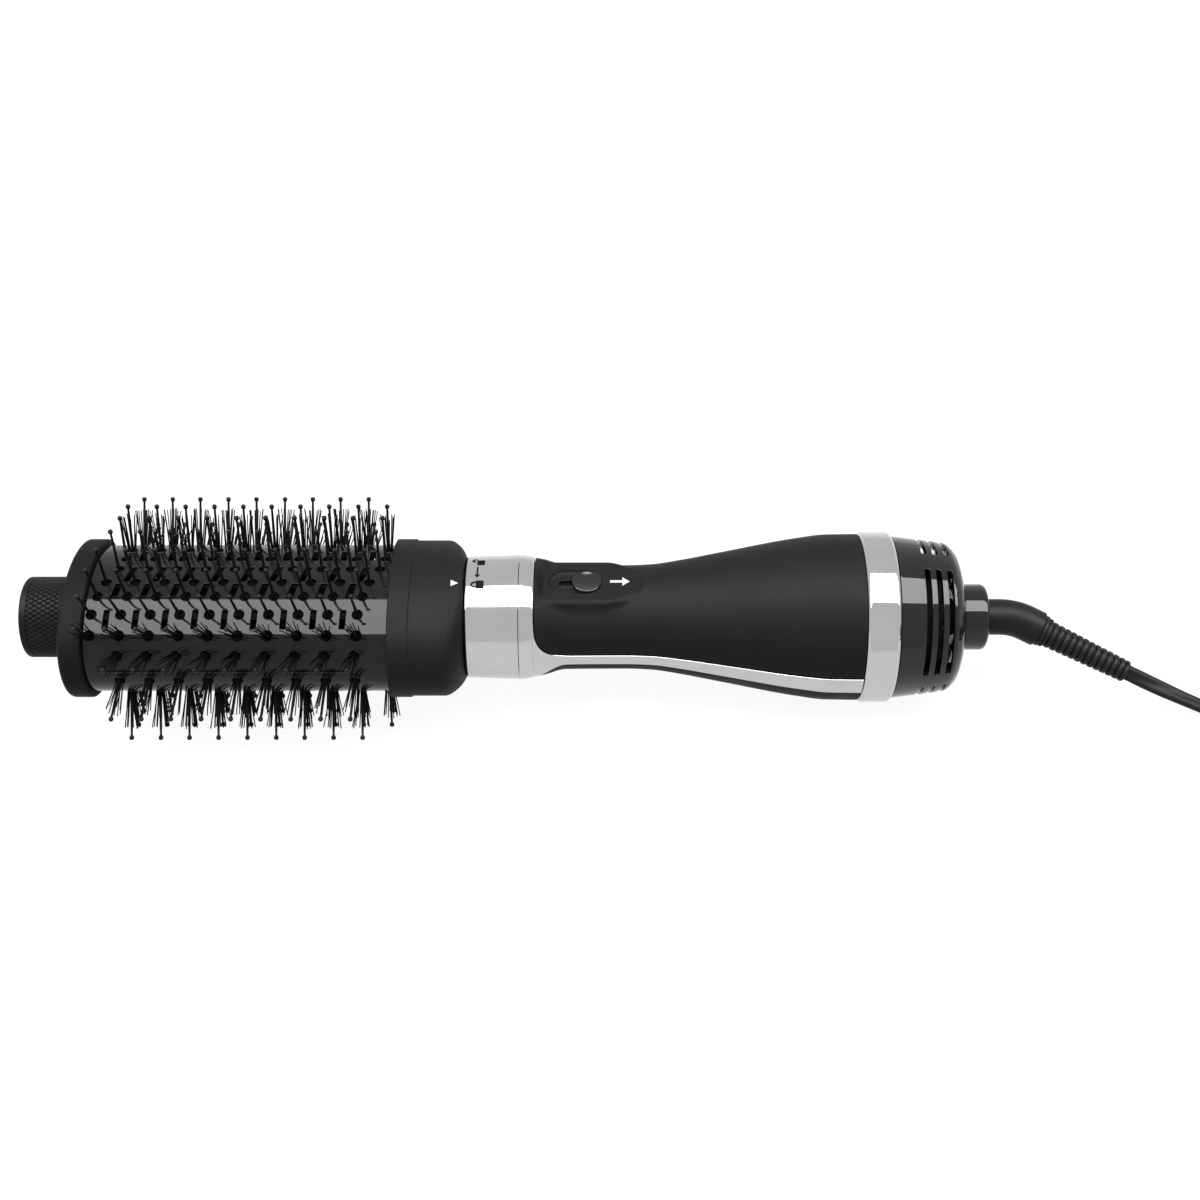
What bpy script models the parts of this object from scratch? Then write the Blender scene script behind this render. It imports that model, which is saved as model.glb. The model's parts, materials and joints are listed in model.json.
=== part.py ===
"""Hot air brush: an oval bristle barrel that twists and pulls off a round grip.

Lengths are in metres. The brush is drawn along its own X axis: the finger knob is at the
negative end, the cord at the positive end, and the switch faces +Z. One empty, brush_axis,
then lays the whole brush down on its lowest bristles and on its rear band. Angles round
the axis are counted from +Z towards -Y.
"""
import math

import bmesh
import bpy
from mathutils import Matrix, Vector

STEPS = 24
GAP = 0.0003

# The barrel's oval: a long half-width along Y, a short one along Z, and its nose radius.
OVAL_LONG = 0.0315
OVAL_SHORT = 0.0220
NOSE_RADIUS = 0.0182
NOSE_REACH = OVAL_LONG - NOSE_RADIUS
TOP_DROP = (NOSE_REACH**2 - (OVAL_SHORT - NOSE_RADIUS) ** 2) / (2 * (OVAL_SHORT - NOSE_RADIUS))
TOP_RADIUS = OVAL_SHORT + TOP_DROP
TOP_ANGLE = math.atan2(NOSE_REACH, TOP_DROP)

# Stations along the axis, from the knob to the cord.
KNOB_FRONT = -0.2173
CAP_SEAT = -0.1993
BARREL_FRONT = -0.1883
COLLAR_FRONT = -0.0778
BARREL_BACK = -0.0746
COLLAR_BACK = -0.0499
RING_BACK = -0.0303
TRIM_BACK = -0.0245
BAND_FRONT = 0.0972
BAND_BACK = 0.1091
CAP_BACK = 0.1377
BOSS_BACK = 0.1470

# Bristles: pitch along the barrel, height above its wall, and each row of one half turn as
# (distance round the wall from the +Z line, place of the last pin, number of pins).
PIN_PITCH = 0.0108
PIN_HEIGHT = 0.0185
PIN_WIDTH = 0.0012
PIN_TIP_SHARE = 0.75
STRIP_WIDTH = 0.0026
STRIP_THICK = 0.0012
STRIP_END = 0.0014
SLOT_WIDTH = 0.0020
WALL = 0.0012
ROWS = (
    (0.0440, -0.0900, 9),
    (0.0330, -0.0897, 9),
    (0.0255, -0.0888, 10),
    (0.0175, -0.0887, 10),
    (0.0100, -0.0873, 10),
    (0.0035, -0.0852, 10),
    (-0.0035, -0.0819, 10),
    (-0.0100, -0.0805, 10),
    (-0.0175, -0.0800, 10),
    (-0.0280, -0.0890, 9),
)

# Grip: outside as (station, radius), inside likewise, and the trims between its shells.
GRIP_OUTSIDE = (
    (-0.0242, 0.0225),
    (-0.0210, 0.0219),
    (-0.0129, 0.0198),
    (0.0095, 0.01965),
    (0.0190, 0.0200),
    (0.0307, 0.0217),
    (0.0452, 0.0245),
    (0.0745, 0.0300),
    (0.0850, 0.0313),
    (0.0969, 0.0315),
)
GRIP_INSIDE = ((0.1080, 0.0284), (0.0800, 0.0284), (0.0450, 0.0220), (0.0240, 0.0170), (-0.0220, 0.0165))
NECK_FRONT = (-0.0300, 0.0203)
NECK_BACK = (0.1080, 0.0302)
TRIM_START = math.radians(93.0)
TRIM_END = math.radians(110.0)
TRIM_GAP = math.radians(0.8)
TRIM_PROUD = 0.0003
TRIM_THICK = 0.0010
SHELL_MEET = math.radians(101.4)

# Switch pad, its recess and the sliding button.
PAD_TOP = 0.0188
PAD_FRONT = -0.0225
PAD_BACK = 0.0155
PAD_HALF = 0.0122
RECESS_FRONT = -0.0195
RECESS_BACK = 0.0009
RECESS_WIDTH = 0.0128
RECESS_DEPTH = 0.0014
BUTTON_RADIUS = 0.0055
BUTTON_X = -0.0049
SWITCH_TRAVEL = 0.0086
NECK_WIDTH = 0.0030

# Two screws hold the rear shell to bosses of the front shell.
SCREW_X = 0.0395
SCREW_SIDE = 0.0090
SCREW_SEAT = -0.0202
BOSS_RADIUS = 0.0027
SHANK_RADIUS = 0.0012
HEAD_RADIUS = 0.0029

# Rear band, cap and cord exit.
BAND_RADIUS = 0.0323
BAND_CHAMFER = 0.0010
CAP_OUTSIDE = (
    (0.1094, 0.0308),
    (0.1190, 0.0296),
    (0.1246, 0.0289),
    (0.1300, 0.0280),
    (0.1338, 0.0249),
    (0.1366, 0.0184),
    (CAP_BACK, 0.0130),
)
INLET_STATIONS = (0.1198, 0.1240, 0.1282)
INLET_WIDTH = 0.0024
INLET_RIBS = (0.0, 100.0, 180.0, 260.0)
RIB_HALF = 7.0
STEM_RADIUS = 0.0069
CORD_BEND = math.radians(26.0)
CORD_ROLL = math.radians(135.0)
BEND_X = 0.1570
RELIEF_START = 0.0110
RELIEF_LENGTH = 0.0365

# Cord: a flat lead, 6 mm wide, wound into a flat coil beyond the cord end.
CORD_WIDTH = 0.0060
CORD_LIFT = 0.0031
COIL_CENTRE = (0.2978, 0.0029)
COIL_INNER = 0.0172
COIL_OUTER = 0.0480
COIL_BOTTOM = 0.0010
COIL_TOP = 0.0077
CORD_RUN = ((0.0106, -0.0037, -0.0041), (0.0212, -0.0074, -0.0077))
CORD_ON_FLOOR = ((0.2395, -0.0262), (0.2500, -0.0300), (0.2616, -0.0342))
TAIL_ON_FLOOR = ((0.3234, -0.0424), (0.3310, -0.0426), (0.3390, -0.0428))
PLUG_AT = (0.3393, -0.0428)

# Where the brush touches what it lies on, and the tilt and height that follow.
LOW_PIN_X = -0.0819
LOW_PIN_ARC = 0.0035
FOOT_X = BAND_BACK - BAND_CHAMFER
CENTRE_X = 0.0084
NOMINAL_TILT = math.radians(2.4)


def oval_point(angle, grow=0.0):
    """(Y, Z) on the oval outline, grown by that much, where its normal has that angle."""
    across, up = math.sin(angle), math.cos(angle)
    if abs(up) >= math.cos(TOP_ANGLE) - 1e-9:
        radius = TOP_RADIUS + grow
        return -radius * across, radius * up - math.copysign(TOP_DROP, up)
    radius = NOSE_RADIUS + grow
    return -radius * across - math.copysign(NOSE_REACH, across), radius * up


def wall_angle(arc):
    """The normal's angle at that distance round the wall from the +Z line."""
    flat = TOP_RADIUS * TOP_ANGLE
    turn = abs(arc) / TOP_RADIUS if abs(arc) < flat else TOP_ANGLE + (abs(arc) - flat) / NOSE_RADIUS
    return math.copysign(turn, arc)


LOW_PIN_ANGLE = wall_angle(LOW_PIN_ARC)
LOW_PIN_REACH = oval_point(LOW_PIN_ANGLE)[1] + PIN_HEIGHT * math.cos(LOW_PIN_ANGLE)
LOW_PIN_REACH += PIN_TIP_SHARE * PIN_WIDTH / 2 * (math.sin(LOW_PIN_ANGLE) + 2 * NOMINAL_TILT)
TILT = math.atan2(LOW_PIN_REACH - BAND_RADIUS, FOOT_X - LOW_PIN_X)
AXIS_HEIGHT = BAND_RADIUS * math.cos(TILT) + FOOT_X * math.sin(TILT)


def clear_scene():
    for thing in list(bpy.data.objects):
        bpy.data.objects.remove(thing, do_unlink=True)


def new_collection(name):
    made = bpy.data.collections.new(name)
    bpy.context.scene.collection.children.link(made)
    return made


def look(name, colour, roughness, metallic=0.0):
    """One Principled material for one part."""
    made = bpy.data.materials.new(name)
    made.use_nodes = True
    shader = made.node_tree.nodes["Principled BSDF"]
    shader.inputs["Base Color"].default_value = (*colour, 1.0)
    shader.inputs["Roughness"].default_value = roughness
    shader.inputs["Metallic"].default_value = metallic
    return made


SOFT_BLACK = ((0.045, 0.045, 0.047), 0.55)
GLOSS_BLACK = ((0.012, 0.012, 0.013), 0.15)
CHROME = ((0.80, 0.80, 0.82), 0.08, 1.0)
STEEL = ((0.55, 0.55, 0.56), 0.30, 1.0)
DARK_METAL = ((0.035, 0.035, 0.038), 0.25, 0.6)
NYLON = ((0.03, 0.03, 0.032), 0.45)
MICA = ((0.50, 0.42, 0.30), 0.60)
BOARD_GREEN = ((0.03, 0.16, 0.06), 0.50)
CORD_BLACK = ((0.020, 0.020, 0.021), 0.50)
FOAM = ((0.08, 0.08, 0.08), 0.95)


def empty(name, parent=None):
    made = bpy.data.objects.new(name, None)
    PARTS.objects.link(made)
    made.parent = parent
    return made


def place(name, mesh, finish, parent, where=None):
    """Link a mesh as the named part, at a matrix under its parent."""
    made = bpy.data.objects.new(name, mesh)
    PARTS.objects.link(made)
    made.parent = parent
    made.matrix_local = where or Matrix.Identity(4)
    made.data.materials.append(look(name, *finish))
    return made


def as_cutter(thing):
    """Move a shape to the cutters, out of the parts."""
    for group in thing.users_collection:
        group.objects.unlink(thing)
    CUTTERS.objects.link(thing)
    thing.hide_render = True
    thing.display_type = "WIRE"
    return thing


def boolean(target, other, operation):
    step = target.modifiers.new(other.name, "BOOLEAN")
    step.operation = operation
    step.solver = "EXACT"
    step.object = as_cutter(other)


def smooth(mesh):
    mesh.shade_smooth()
    mesh.set_sharp_from_angle(angle=math.radians(30.0))


def finish_mesh(name, shape):
    bmesh.ops.recalc_face_normals(shape, faces=shape.faces)
    mesh = bpy.data.meshes.new(name)
    shape.to_mesh(mesh)
    shape.free()
    smooth(mesh)
    return mesh


def turned(name, outside, inside, finish, parent, steps=STEPS, upright=None):
    """Turn a profile of (station, radius) about X, or about Z when upright gives a place.

    The outside runs from front to back. A ring's inside does too; a solid has none.
    """
    loop = [(radius, 0.0, station) for station, radius in reversed(outside)]
    loop += [(radius, 0.0, station) for station, radius in inside]
    pairs = [(i, i + 1) for i in range(len(loop) - 1)]
    if inside:
        pairs.append((len(loop) - 1, 0))
    mesh = bpy.data.meshes.new(name)
    mesh.from_pydata(loop, pairs, [])
    where = Matrix.Rotation(math.pi / 2, 4, "Y") if upright is None else Matrix.Translation(upright)
    made = place(name, mesh, finish, parent, where)
    screw = made.modifiers.new("turn", "SCREW")
    screw.steps = screw.render_steps = steps
    screw.use_merge_vertices = True
    screw.merge_threshold = 1e-6
    return made


def spun(name, outline, start, end, steps, finish, parent):
    """Sweep a closed outline of (station, radius) round X from one angle to another."""
    shape = bmesh.new()
    corners = [shape.verts.new((station, 0.0, radius)) for station, radius in outline]
    shape.faces.new(corners)
    bmesh.ops.rotate(shape, verts=corners, cent=(0, 0, 0), matrix=Matrix.Rotation(start, 3, "X"))
    bmesh.ops.spin(
        shape,
        geom=shape.verts[:] + shape.edges[:] + shape.faces[:],
        axis=(1.0, 0.0, 0.0),
        cent=(0.0, 0.0, 0.0),
        steps=steps,
        angle=end - start,
    )
    return place(name, finish_mesh(name, shape), finish, parent)


def oval_angles():
    """Normal angles all round the oval, with a point at each change of radius."""
    quarter = [TOP_ANGLE * i / 3 for i in range(3)]
    quarter += [TOP_ANGLE + (math.pi / 2 - TOP_ANGLE) * i / 4 for i in range(4)]
    half = quarter + [math.pi / 2] + [math.pi - angle for angle in reversed(quarter[1:])]
    return half + [angle + math.pi for angle in half]


def oval_ring(station, grow=0.0, circle=None, share=0.0):
    """One ring of the oval, or of a circle, or of a shape that share of the way to it."""
    ring = []
    for angle in oval_angles():
        y, z = oval_point(angle, grow)
        if circle is not None:
            y += share * (-circle * math.sin(angle) - y)
            z += share * (circle * math.cos(angle) - z)
        ring.append((station, y, z))
    return ring


def round_ring(station, radius):
    return oval_ring(station, 0.0, radius, 1.0)


def loft(name, rings, finish, parent):
    """Join rings of equal count into one closed skin, the last ring back to the first."""
    shape = bmesh.new()
    rows = [[shape.verts.new(point) for point in ring] for ring in rings]
    count = len(rows[0])
    for row, after in zip(rows, rows[1:] + rows[:1]):
        for i in range(count):
            j = (i + 1) % count
            shape.faces.new((row[i], row[j], after[j], after[i]))
    return place(name, finish_mesh(name, shape), finish, parent)


def box(name, size, centre, finish, parent):
    shape = bmesh.new()
    bmesh.ops.create_cube(shape, size=1.0)
    bmesh.ops.scale(shape, verts=shape.verts, vec=size)
    return place(name, finish_mesh(name, shape), finish, parent, Matrix.Translation(centre))


def post(name, radius, low, high, at, finish, parent, sides=12):
    """An upright cylinder between two heights at (X, Y)."""
    shape = bmesh.new()
    bmesh.ops.create_cone(
        shape, cap_ends=True, segments=sides, radius1=radius, radius2=radius, depth=high - low
    )
    where = Matrix.Translation((at[0], at[1], (low + high) / 2))
    return place(name, finish_mesh(name, shape), finish, parent, where)


def tube(name, points, radius, finish, parent, resolution=2):
    """A round wire through the points, closed at both ends."""
    curve = bpy.data.curves.new(name, "CURVE")
    curve.dimensions = "3D"
    curve.bevel_depth = radius
    curve.bevel_resolution = resolution
    curve.use_fill_caps = True
    spline = curve.splines.new("POLY")
    spline.points.add(len(points) - 1)
    for knot, point in zip(spline.points, points):
        knot.co = (*point, 1.0)
    made = bpy.data.objects.new(name, curve)
    PARTS.objects.link(made)
    made.parent = parent
    curve.materials.append(look(name, *finish))
    return made


def smooth_line(points, spacing):
    """Points at that spacing along a smooth curve through the given ones."""
    knots = [Vector(point) for point in points]
    knots = [2 * knots[0] - knots[1], *knots, 2 * knots[-1] - knots[-2]]
    line = [knots[1]]
    for a, b, c, d in zip(knots, knots[1:], knots[2:], knots[3:]):
        parts = max(1, round((c - b).length / spacing))
        for i in range(1, parts + 1):
            t = i / parts
            line.append(
                0.5
                * (
                    2 * b
                    + (c - a) * t
                    + (2 * a - 5 * b + 4 * c - d) * t**2
                    + (3 * b - a - 3 * c + d) * t**3
                )
            )
    return line


def grip_radius(station):
    """Outside radius of the grip at a station."""
    for (x0, r0), (x1, r1) in zip(GRIP_OUTSIDE, GRIP_OUTSIDE[1:]):
        if station <= x1:
            return r0 + (r1 - r0) * max(0.0, station - x0) / (x1 - x0)
    return GRIP_OUTSIDE[-1][1]


# ---- head -----------------------------------------------------------------------------


def row_angles():
    """Every bristle row as (angle round the axis, last pin's place, pins)."""
    for half in (0.0, math.pi):
        for arc, last, pins in ROWS:
            yield half + wall_angle(arc), last, pins


def row_place(angle):
    """Matrix of a row: on the wall at that normal angle, local Z outwards."""
    y, z = oval_point(angle)
    return Matrix.Translation((0.0, y, z)) @ Matrix.Rotation(angle, 4, "X")


def is_foot(middle, last):
    """Whether a face of the strip's top, with that middle, carries a pin."""
    steps = (last - middle.x) / PIN_PITCH
    return abs(middle.y) < PIN_WIDTH / 4 and abs(steps - round(steps)) < 0.01


def bristle_row(name, angle, last, pins, parent):
    """A strip inside the wall with tapered pins that stand out through its slot."""
    shape = bmesh.new()
    bmesh.ops.create_grid(shape, x_segments=2 * pins + 1, y_segments=3, size=0.5)
    edges = [last + side * PIN_WIDTH / 2 - i * PIN_PITCH for i in range(pins) for side in (-1, 1)]
    edges = sorted([*edges, last + STRIP_END, last - (pins - 1) * PIN_PITCH - STRIP_END])
    for v in shape.verts:
        column = round((v.co.x + 0.5) * (2 * pins + 1))
        half = STRIP_WIDTH / 2 if abs(v.co.y) > 0.4 else PIN_WIDTH / 2
        v.co = (edges[column], math.copysign(half, v.co.y), -WALL - GAP)
    feet = [face for face in shape.faces if is_foot(face.calc_center_median(), last)]
    floor = bmesh.ops.extrude_face_region(shape, geom=shape.faces[:])
    low = [v for v in floor["geom"] if isinstance(v, bmesh.types.BMVert)]
    bmesh.ops.translate(shape, verts=low, vec=(0.0, 0.0, -STRIP_THICK))
    tips = bmesh.ops.extrude_discrete_faces(shape, faces=feet)["faces"]
    for tip in tips:
        middle = tip.calc_center_median()
        bmesh.ops.scale(
            shape,
            verts=tip.verts,
            vec=(PIN_TIP_SHARE, PIN_TIP_SHARE, 1.0),
            space=Matrix.Translation(-middle),
        )
        bmesh.ops.translate(shape, verts=tip.verts, vec=(0.0, 0.0, WALL + GAP + PIN_HEIGHT))
    bmesh.ops.dissolve_limit(
        shape, angle_limit=0.01, verts=shape.verts, edges=shape.edges, delimit=set()
    )
    place(name, finish_mesh(name, shape), NYLON, parent, row_place(angle))


def build_barrel(parent):
    barrel = loft(
        "barrel_tube",
        [
            oval_ring(BARREL_FRONT, -WALL),
            oval_ring(BARREL_FRONT),
            oval_ring(BARREL_BACK),
            oval_ring(BARREL_BACK, -WALL),
        ],
        DARK_METAL,
        parent,
    )
    slots = bmesh.new()
    for angle, last, pins in row_angles():
        first = last - (pins - 1) * PIN_PITCH
        made = bmesh.ops.create_cube(slots, size=1.0)["verts"]
        bmesh.ops.scale(slots, verts=made, vec=(last - first + SLOT_WIDTH, SLOT_WIDTH, 3 * WALL))
        where = row_place(angle) @ Matrix.Translation(((first + last) / 2, 0.0, -WALL / 2))
        bmesh.ops.transform(slots, verts=made, matrix=where)
    cutter = place("bristle_slots", finish_mesh("bristle_slots", slots), NYLON, parent)
    boolean(barrel, cutter, "DIFFERENCE")
    for number, (angle, last, pins) in enumerate(row_angles(), 1):
        bristle_row(f"bristle_row_{number:02d}", angle, last, pins, parent)


def build_front_end(parent):
    rim = 0.0023
    hole = 0.0040
    lip = -0.0055
    back = BARREL_FRONT - GAP
    loft(
        "front_cap",
        [
            round_ring(CAP_SEAT, hole),
            round_ring(CAP_SEAT, 0.0140),
            oval_ring(CAP_SEAT + 0.0009, -0.0030),
            oval_ring(CAP_SEAT + 0.0022, rim - 0.0009),
            oval_ring(CAP_SEAT + 0.0036, rim),
            oval_ring(back, rim),
            oval_ring(back, lip),
            oval_ring(back + 0.0045, lip),
            oval_ring(back + 0.0045, lip - 0.0015),
            oval_ring(CAP_SEAT + 0.0058, lip - 0.0015),
            round_ring(CAP_SEAT + 0.0058, hole),
        ],
        GLOSS_BLACK,
        parent,
    )
    radius = 0.0153
    stem = 0.0036
    turned(
        "tip_knob",
        [
            (KNOB_FRONT, 0.0),
            (KNOB_FRONT, radius - 0.0035),
            (KNOB_FRONT + 0.0010, radius - 0.0010),
            (KNOB_FRONT + 0.0035, radius),
            (CAP_SEAT - GAP, radius),
            (CAP_SEAT - GAP, stem),
            (CAP_SEAT + 0.0056, stem),
            (CAP_SEAT + 0.0056, 0.0016),
            (CAP_SEAT - 0.0060, 0.0016),
            (CAP_SEAT - 0.0060, 0.0),
        ],
        [],
        NYLON,
        parent,
    )
    turned(
        "tip_screw",
        [
            (CAP_SEAT - 0.0050, 0.0),
            (CAP_SEAT - 0.0050, 0.0012),
            (CAP_SEAT + 0.0061, 0.0012),
            (CAP_SEAT + 0.0061, 0.0055),
            (CAP_SEAT + 0.0080, 0.0050),
            (CAP_SEAT + 0.0086, 0.0),
        ],
        [],
        STEEL,
        parent,
        steps=12,
    )


def build_collar(parent):
    rim, body = 0.0023, 0.0018
    bore, web = 0.0176, 0.0162
    web_back, web_front = -0.0572, -0.0602
    loft(
        "head_collar",
        [
            oval_ring(COLLAR_FRONT, 0.00035),
            oval_ring(COLLAR_FRONT, rim - 0.0005),
            oval_ring(COLLAR_FRONT + 0.0006, rim),
            oval_ring(COLLAR_FRONT + 0.0077, rim),
            oval_ring(COLLAR_FRONT + 0.0080, body),
            oval_ring(-0.0575, body),
            oval_ring(-0.0532, body - 0.0006, 0.0243, 0.40),
            oval_ring(-0.0508, body - 0.0012, 0.0238, 0.80),
            round_ring(COLLAR_BACK, 0.0228),
            round_ring(COLLAR_BACK, bore),
            round_ring(web_back, bore),
            round_ring(web_back, web),
            round_ring(web_front, web),
            oval_ring(BARREL_BACK + GAP, -0.0030),
            oval_ring(BARREL_BACK + GAP, 0.00035),
        ],
        SOFT_BLACK,
        parent,
    )


def build_air_guide(parent):
    turned(
        "air_guide",
        [(CAP_SEAT + 0.0078, 0.0092), (-0.0920, 0.0130)],
        [(CAP_SEAT + 0.0078, 0.0080), (-0.0920, 0.0120)],
        STEEL,
        parent,
        steps=16,
    )


def build_head(parent):
    build_barrel(parent)
    build_front_end(parent)
    build_collar(parent)
    build_air_guide(parent)


# ---- coupling and heater --------------------------------------------------------------


def build_coupling(parent, twist):
    turned(
        "latch_ring",
        [(-0.0567, 0.0172), (-0.0502, 0.0172)],
        [(-0.0567, 0.0160), (-0.0502, 0.0160)],
        STEEL,
        twist,
    )
    turned(
        "lock_ring",
        [(-0.0495, 0.0222), (-0.0488, 0.0230), (-0.0312, 0.0236), (RING_BACK, 0.0230)],
        [(-0.0495, 0.0162), (-0.0475, 0.0162), (-0.0475, 0.0197), (RING_BACK, 0.0197)],
        CHROME,
        parent,
    )
    turned(
        "outlet_nozzle",
        [(-0.0840, 0.0155), (-0.0340, 0.0155), (-0.0340, 0.0192), (-0.0306, 0.0192)],
        [(-0.0840, 0.0143), (-0.0306, 0.0143)],
        NYLON,
        parent,
    )


def build_heater(parent):
    turned(
        "heater_tube",
        [(-0.0800, 0.0139), (-0.0360, 0.0139)],
        [(-0.0800, 0.0132), (-0.0360, 0.0132)],
        MICA,
        parent,
    )
    length, half, board = 0.0420, 0.0101, 0.0008
    middle = (-0.0580, 0.0, 0.0)
    frame = box("heater_frame", (length, 2 * half, board), middle, MICA, parent)
    upright = box("heater_upright", (length, board, 2 * half), middle, MICA, parent)
    boolean(frame, upright, "UNION")
    turns, knots, radius = 4, 12, 0.0115
    helix = []
    for i in range(turns * knots + 1):
        angle = 2 * math.pi * i / knots
        x = -0.0760 + 0.0360 * i / (turns * knots)
        helix.append((x, radius * math.cos(angle), radius * math.sin(angle)))
    tube("heater_coil", helix, 0.00045, STEEL, parent, resolution=0)
    box("thermal_cutout", (0.0080, 0.0060, 0.0035), (-0.0460, 0.0040, 0.0026), STEEL, parent)


# ---- grip -----------------------------------------------------------------------------


def trim_outline(proud, depth):
    """Outline of the side trims, between the grip's skin and that depth below it."""
    stations = [x for x, _ in GRIP_OUTSIDE[:-1]] + [BAND_FRONT - 2 * GAP]
    skin = [(x, grip_radius(x) + proud) for x in stations]
    return skin + [(x, grip_radius(x) - depth) for x in reversed(stations)]


def shell(name, start, end, steps, parent):
    """A sector of the grip's wall, cut back where the trims lie on it."""
    outline = [NECK_FRONT, (GRIP_OUTSIDE[0][0], NECK_FRONT[1]), *GRIP_OUTSIDE]
    outline += [(GRIP_OUTSIDE[-1][0], NECK_BACK[1]), NECK_BACK, *GRIP_INSIDE, (NECK_FRONT[0], 0.0182)]
    wall = spun(name, outline, start, end, steps, SOFT_BLACK, parent)
    for number, side in enumerate((1, -1)):
        rabbet = spun(
            f"{name}_rabbet_{number}",
            [(x + (0.0020 if x > 0.09 else 0.0), r) for x, r in trim_outline(0.0020, TRIM_THICK + GAP)],
            side * (TRIM_START - TRIM_GAP),
            side * (TRIM_END + TRIM_GAP),
            3,
            SOFT_BLACK,
            parent,
        )
        boolean(wall, rabbet, "DIFFERENCE")
    return wall


def stadium(name, front, back, width, low, high, finish, parent):
    """An upright block with round ends, from front to back along X."""
    curve = bpy.data.curves.new(name, "CURVE")
    curve.dimensions = "2D"
    curve.fill_mode = "BOTH"
    curve.extrude = (high - low) / 2
    spline = curve.splines.new("POLY")
    radius, ends = width / 2, []
    for middle, start in ((back - radius, -math.pi / 2), (front + radius, math.pi / 2)):
        for i in range(7):
            angle = start + math.pi * i / 6
            ends.append((middle + radius * math.cos(angle), radius * math.sin(angle)))
    spline.points.add(len(ends) - 1)
    for knot, (x, y) in zip(spline.points, ends):
        knot.co = (x, y, 0.0, 1.0)
    spline.use_cyclic_u = True
    flat = bpy.data.objects.new(name + "_outline", curve)
    PARTS.objects.link(flat)
    mesh = bpy.data.meshes.new_from_object(flat)
    bpy.data.objects.remove(flat, do_unlink=True)
    shape = bmesh.new()
    shape.from_mesh(mesh)
    bmesh.ops.remove_doubles(shape, verts=shape.verts, dist=1e-6)
    made = finish_mesh(name, shape)
    return place(name, made, finish, parent, Matrix.Translation((0.0, 0.0, (low + high) / 2)))


def build_front_shell(parent):
    wall = shell("handle_front_shell", -SHELL_MEET, SHELL_MEET, 14, parent)
    pad = stadium(
        "switch_pad",
        PAD_FRONT - PAD_HALF,
        PAD_BACK,
        2 * PAD_HALF,
        0.0150,
        PAD_TOP + 0.0030,
        SOFT_BLACK,
        parent,
    )
    ahead = box(
        "pad_front_trim",
        (0.0200, 0.0300, 0.0200),
        (PAD_FRONT - 0.0100, 0.0, PAD_TOP),
        SOFT_BLACK,
        parent,
    )
    boolean(pad, ahead, "DIFFERENCE")
    boolean(wall, pad, "UNION")
    length = PAD_BACK - PAD_FRONT
    middle = (PAD_FRONT + PAD_BACK) / 2
    skim = box(
        "pad_skim",
        (length + 0.0004, 0.0300, 0.0100),
        (middle, 0.0, PAD_TOP + 0.0050),
        SOFT_BLACK,
        parent,
    )
    boolean(wall, skim, "DIFFERENCE")
    bore = turned(
        "pad_bore",
        [(PAD_FRONT, 0.0), (PAD_FRONT, 0.0165), (0.0240, 0.0165), (0.0240, 0.0)],
        [],
        SOFT_BLACK,
        parent,
    )
    boolean(wall, bore, "DIFFERENCE")
    floor = PAD_TOP - RECESS_DEPTH
    recess = stadium(
        "switch_recess",
        RECESS_FRONT,
        RECESS_BACK,
        RECESS_WIDTH,
        floor,
        PAD_TOP + 0.0040,
        SOFT_BLACK,
        parent,
    )
    boolean(wall, recess, "DIFFERENCE")
    slot_length = SWITCH_TRAVEL + NECK_WIDTH + 4 * GAP
    slot = box(
        "switch_slot",
        (slot_length, NECK_WIDTH + 2 * GAP, 0.0060),
        (BUTTON_X - SWITCH_TRAVEL / 2, 0.0, floor),
        SOFT_BLACK,
        parent,
    )
    boolean(wall, slot, "DIFFERENCE")
    for number, y in enumerate((-SCREW_SIDE, SCREW_SIDE)):
        at = (SCREW_X, y)
        boss = post(f"screw_boss_{number}", BOSS_RADIUS, -0.0100, 0.0196, at, SOFT_BLACK, parent, 8)
        boolean(wall, boss, "UNION")
        bore = SHANK_RADIUS + GAP
        hole = post(f"boss_bore_{number}", bore, -0.0200, 0.0010, at, SOFT_BLACK, parent, 8)
        boolean(wall, hole, "DIFFERENCE")


def build_rear_shell(parent):
    wall = shell("handle_rear_shell", SHELL_MEET + 0.012, 2 * math.pi - SHELL_MEET - 0.012, 11, parent)
    for side, y in (("left", -SCREW_SIDE), ("right", SCREW_SIDE)):
        at = (SCREW_X, y)
        hole = post(f"screw_hole_{side}", 0.0017, -0.0300, -0.0120, at, SOFT_BLACK, parent)
        boolean(wall, hole, "DIFFERENCE")
        sink = post(f"screw_sink_{side}", 0.0033, -0.0300, SCREW_SEAT, at, SOFT_BLACK, parent)
        boolean(wall, sink, "DIFFERENCE")
        seat = SCREW_SEAT - GAP
        turned(
            f"handle_screw_{side}",
            [
                (seat - 0.0016, 0.0),
                (seat - 0.0016, 0.0024),
                (seat, HEAD_RADIUS),
                (seat, SHANK_RADIUS),
                (-0.0040, 0.0),
            ],
            [],
            STEEL,
            parent,
            steps=12,
            upright=(SCREW_X, y, 0.0),
        )


def build_trim(parent):
    frame = turned(
        "trim_frame",
        [(-0.0300, 0.0231), (-0.0293, 0.0236), (-0.0250, 0.0229), (TRIM_BACK, 0.0224)],
        [(-0.0300, 0.0208), (TRIM_BACK, 0.0208)],
        CHROME,
        parent,
    )
    for number, side in enumerate((1, -1)):
        root = TRIM_BACK - 0.0010
        outline = [(root, 0.0222), *trim_outline(TRIM_PROUD, TRIM_THICK), (root, 0.0212)]
        start, end = side * TRIM_START, side * TRIM_END
        strip = spun(f"side_trim_{number}", outline, start, end, 2, CHROME, parent)
        boolean(frame, strip, "UNION")


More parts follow.
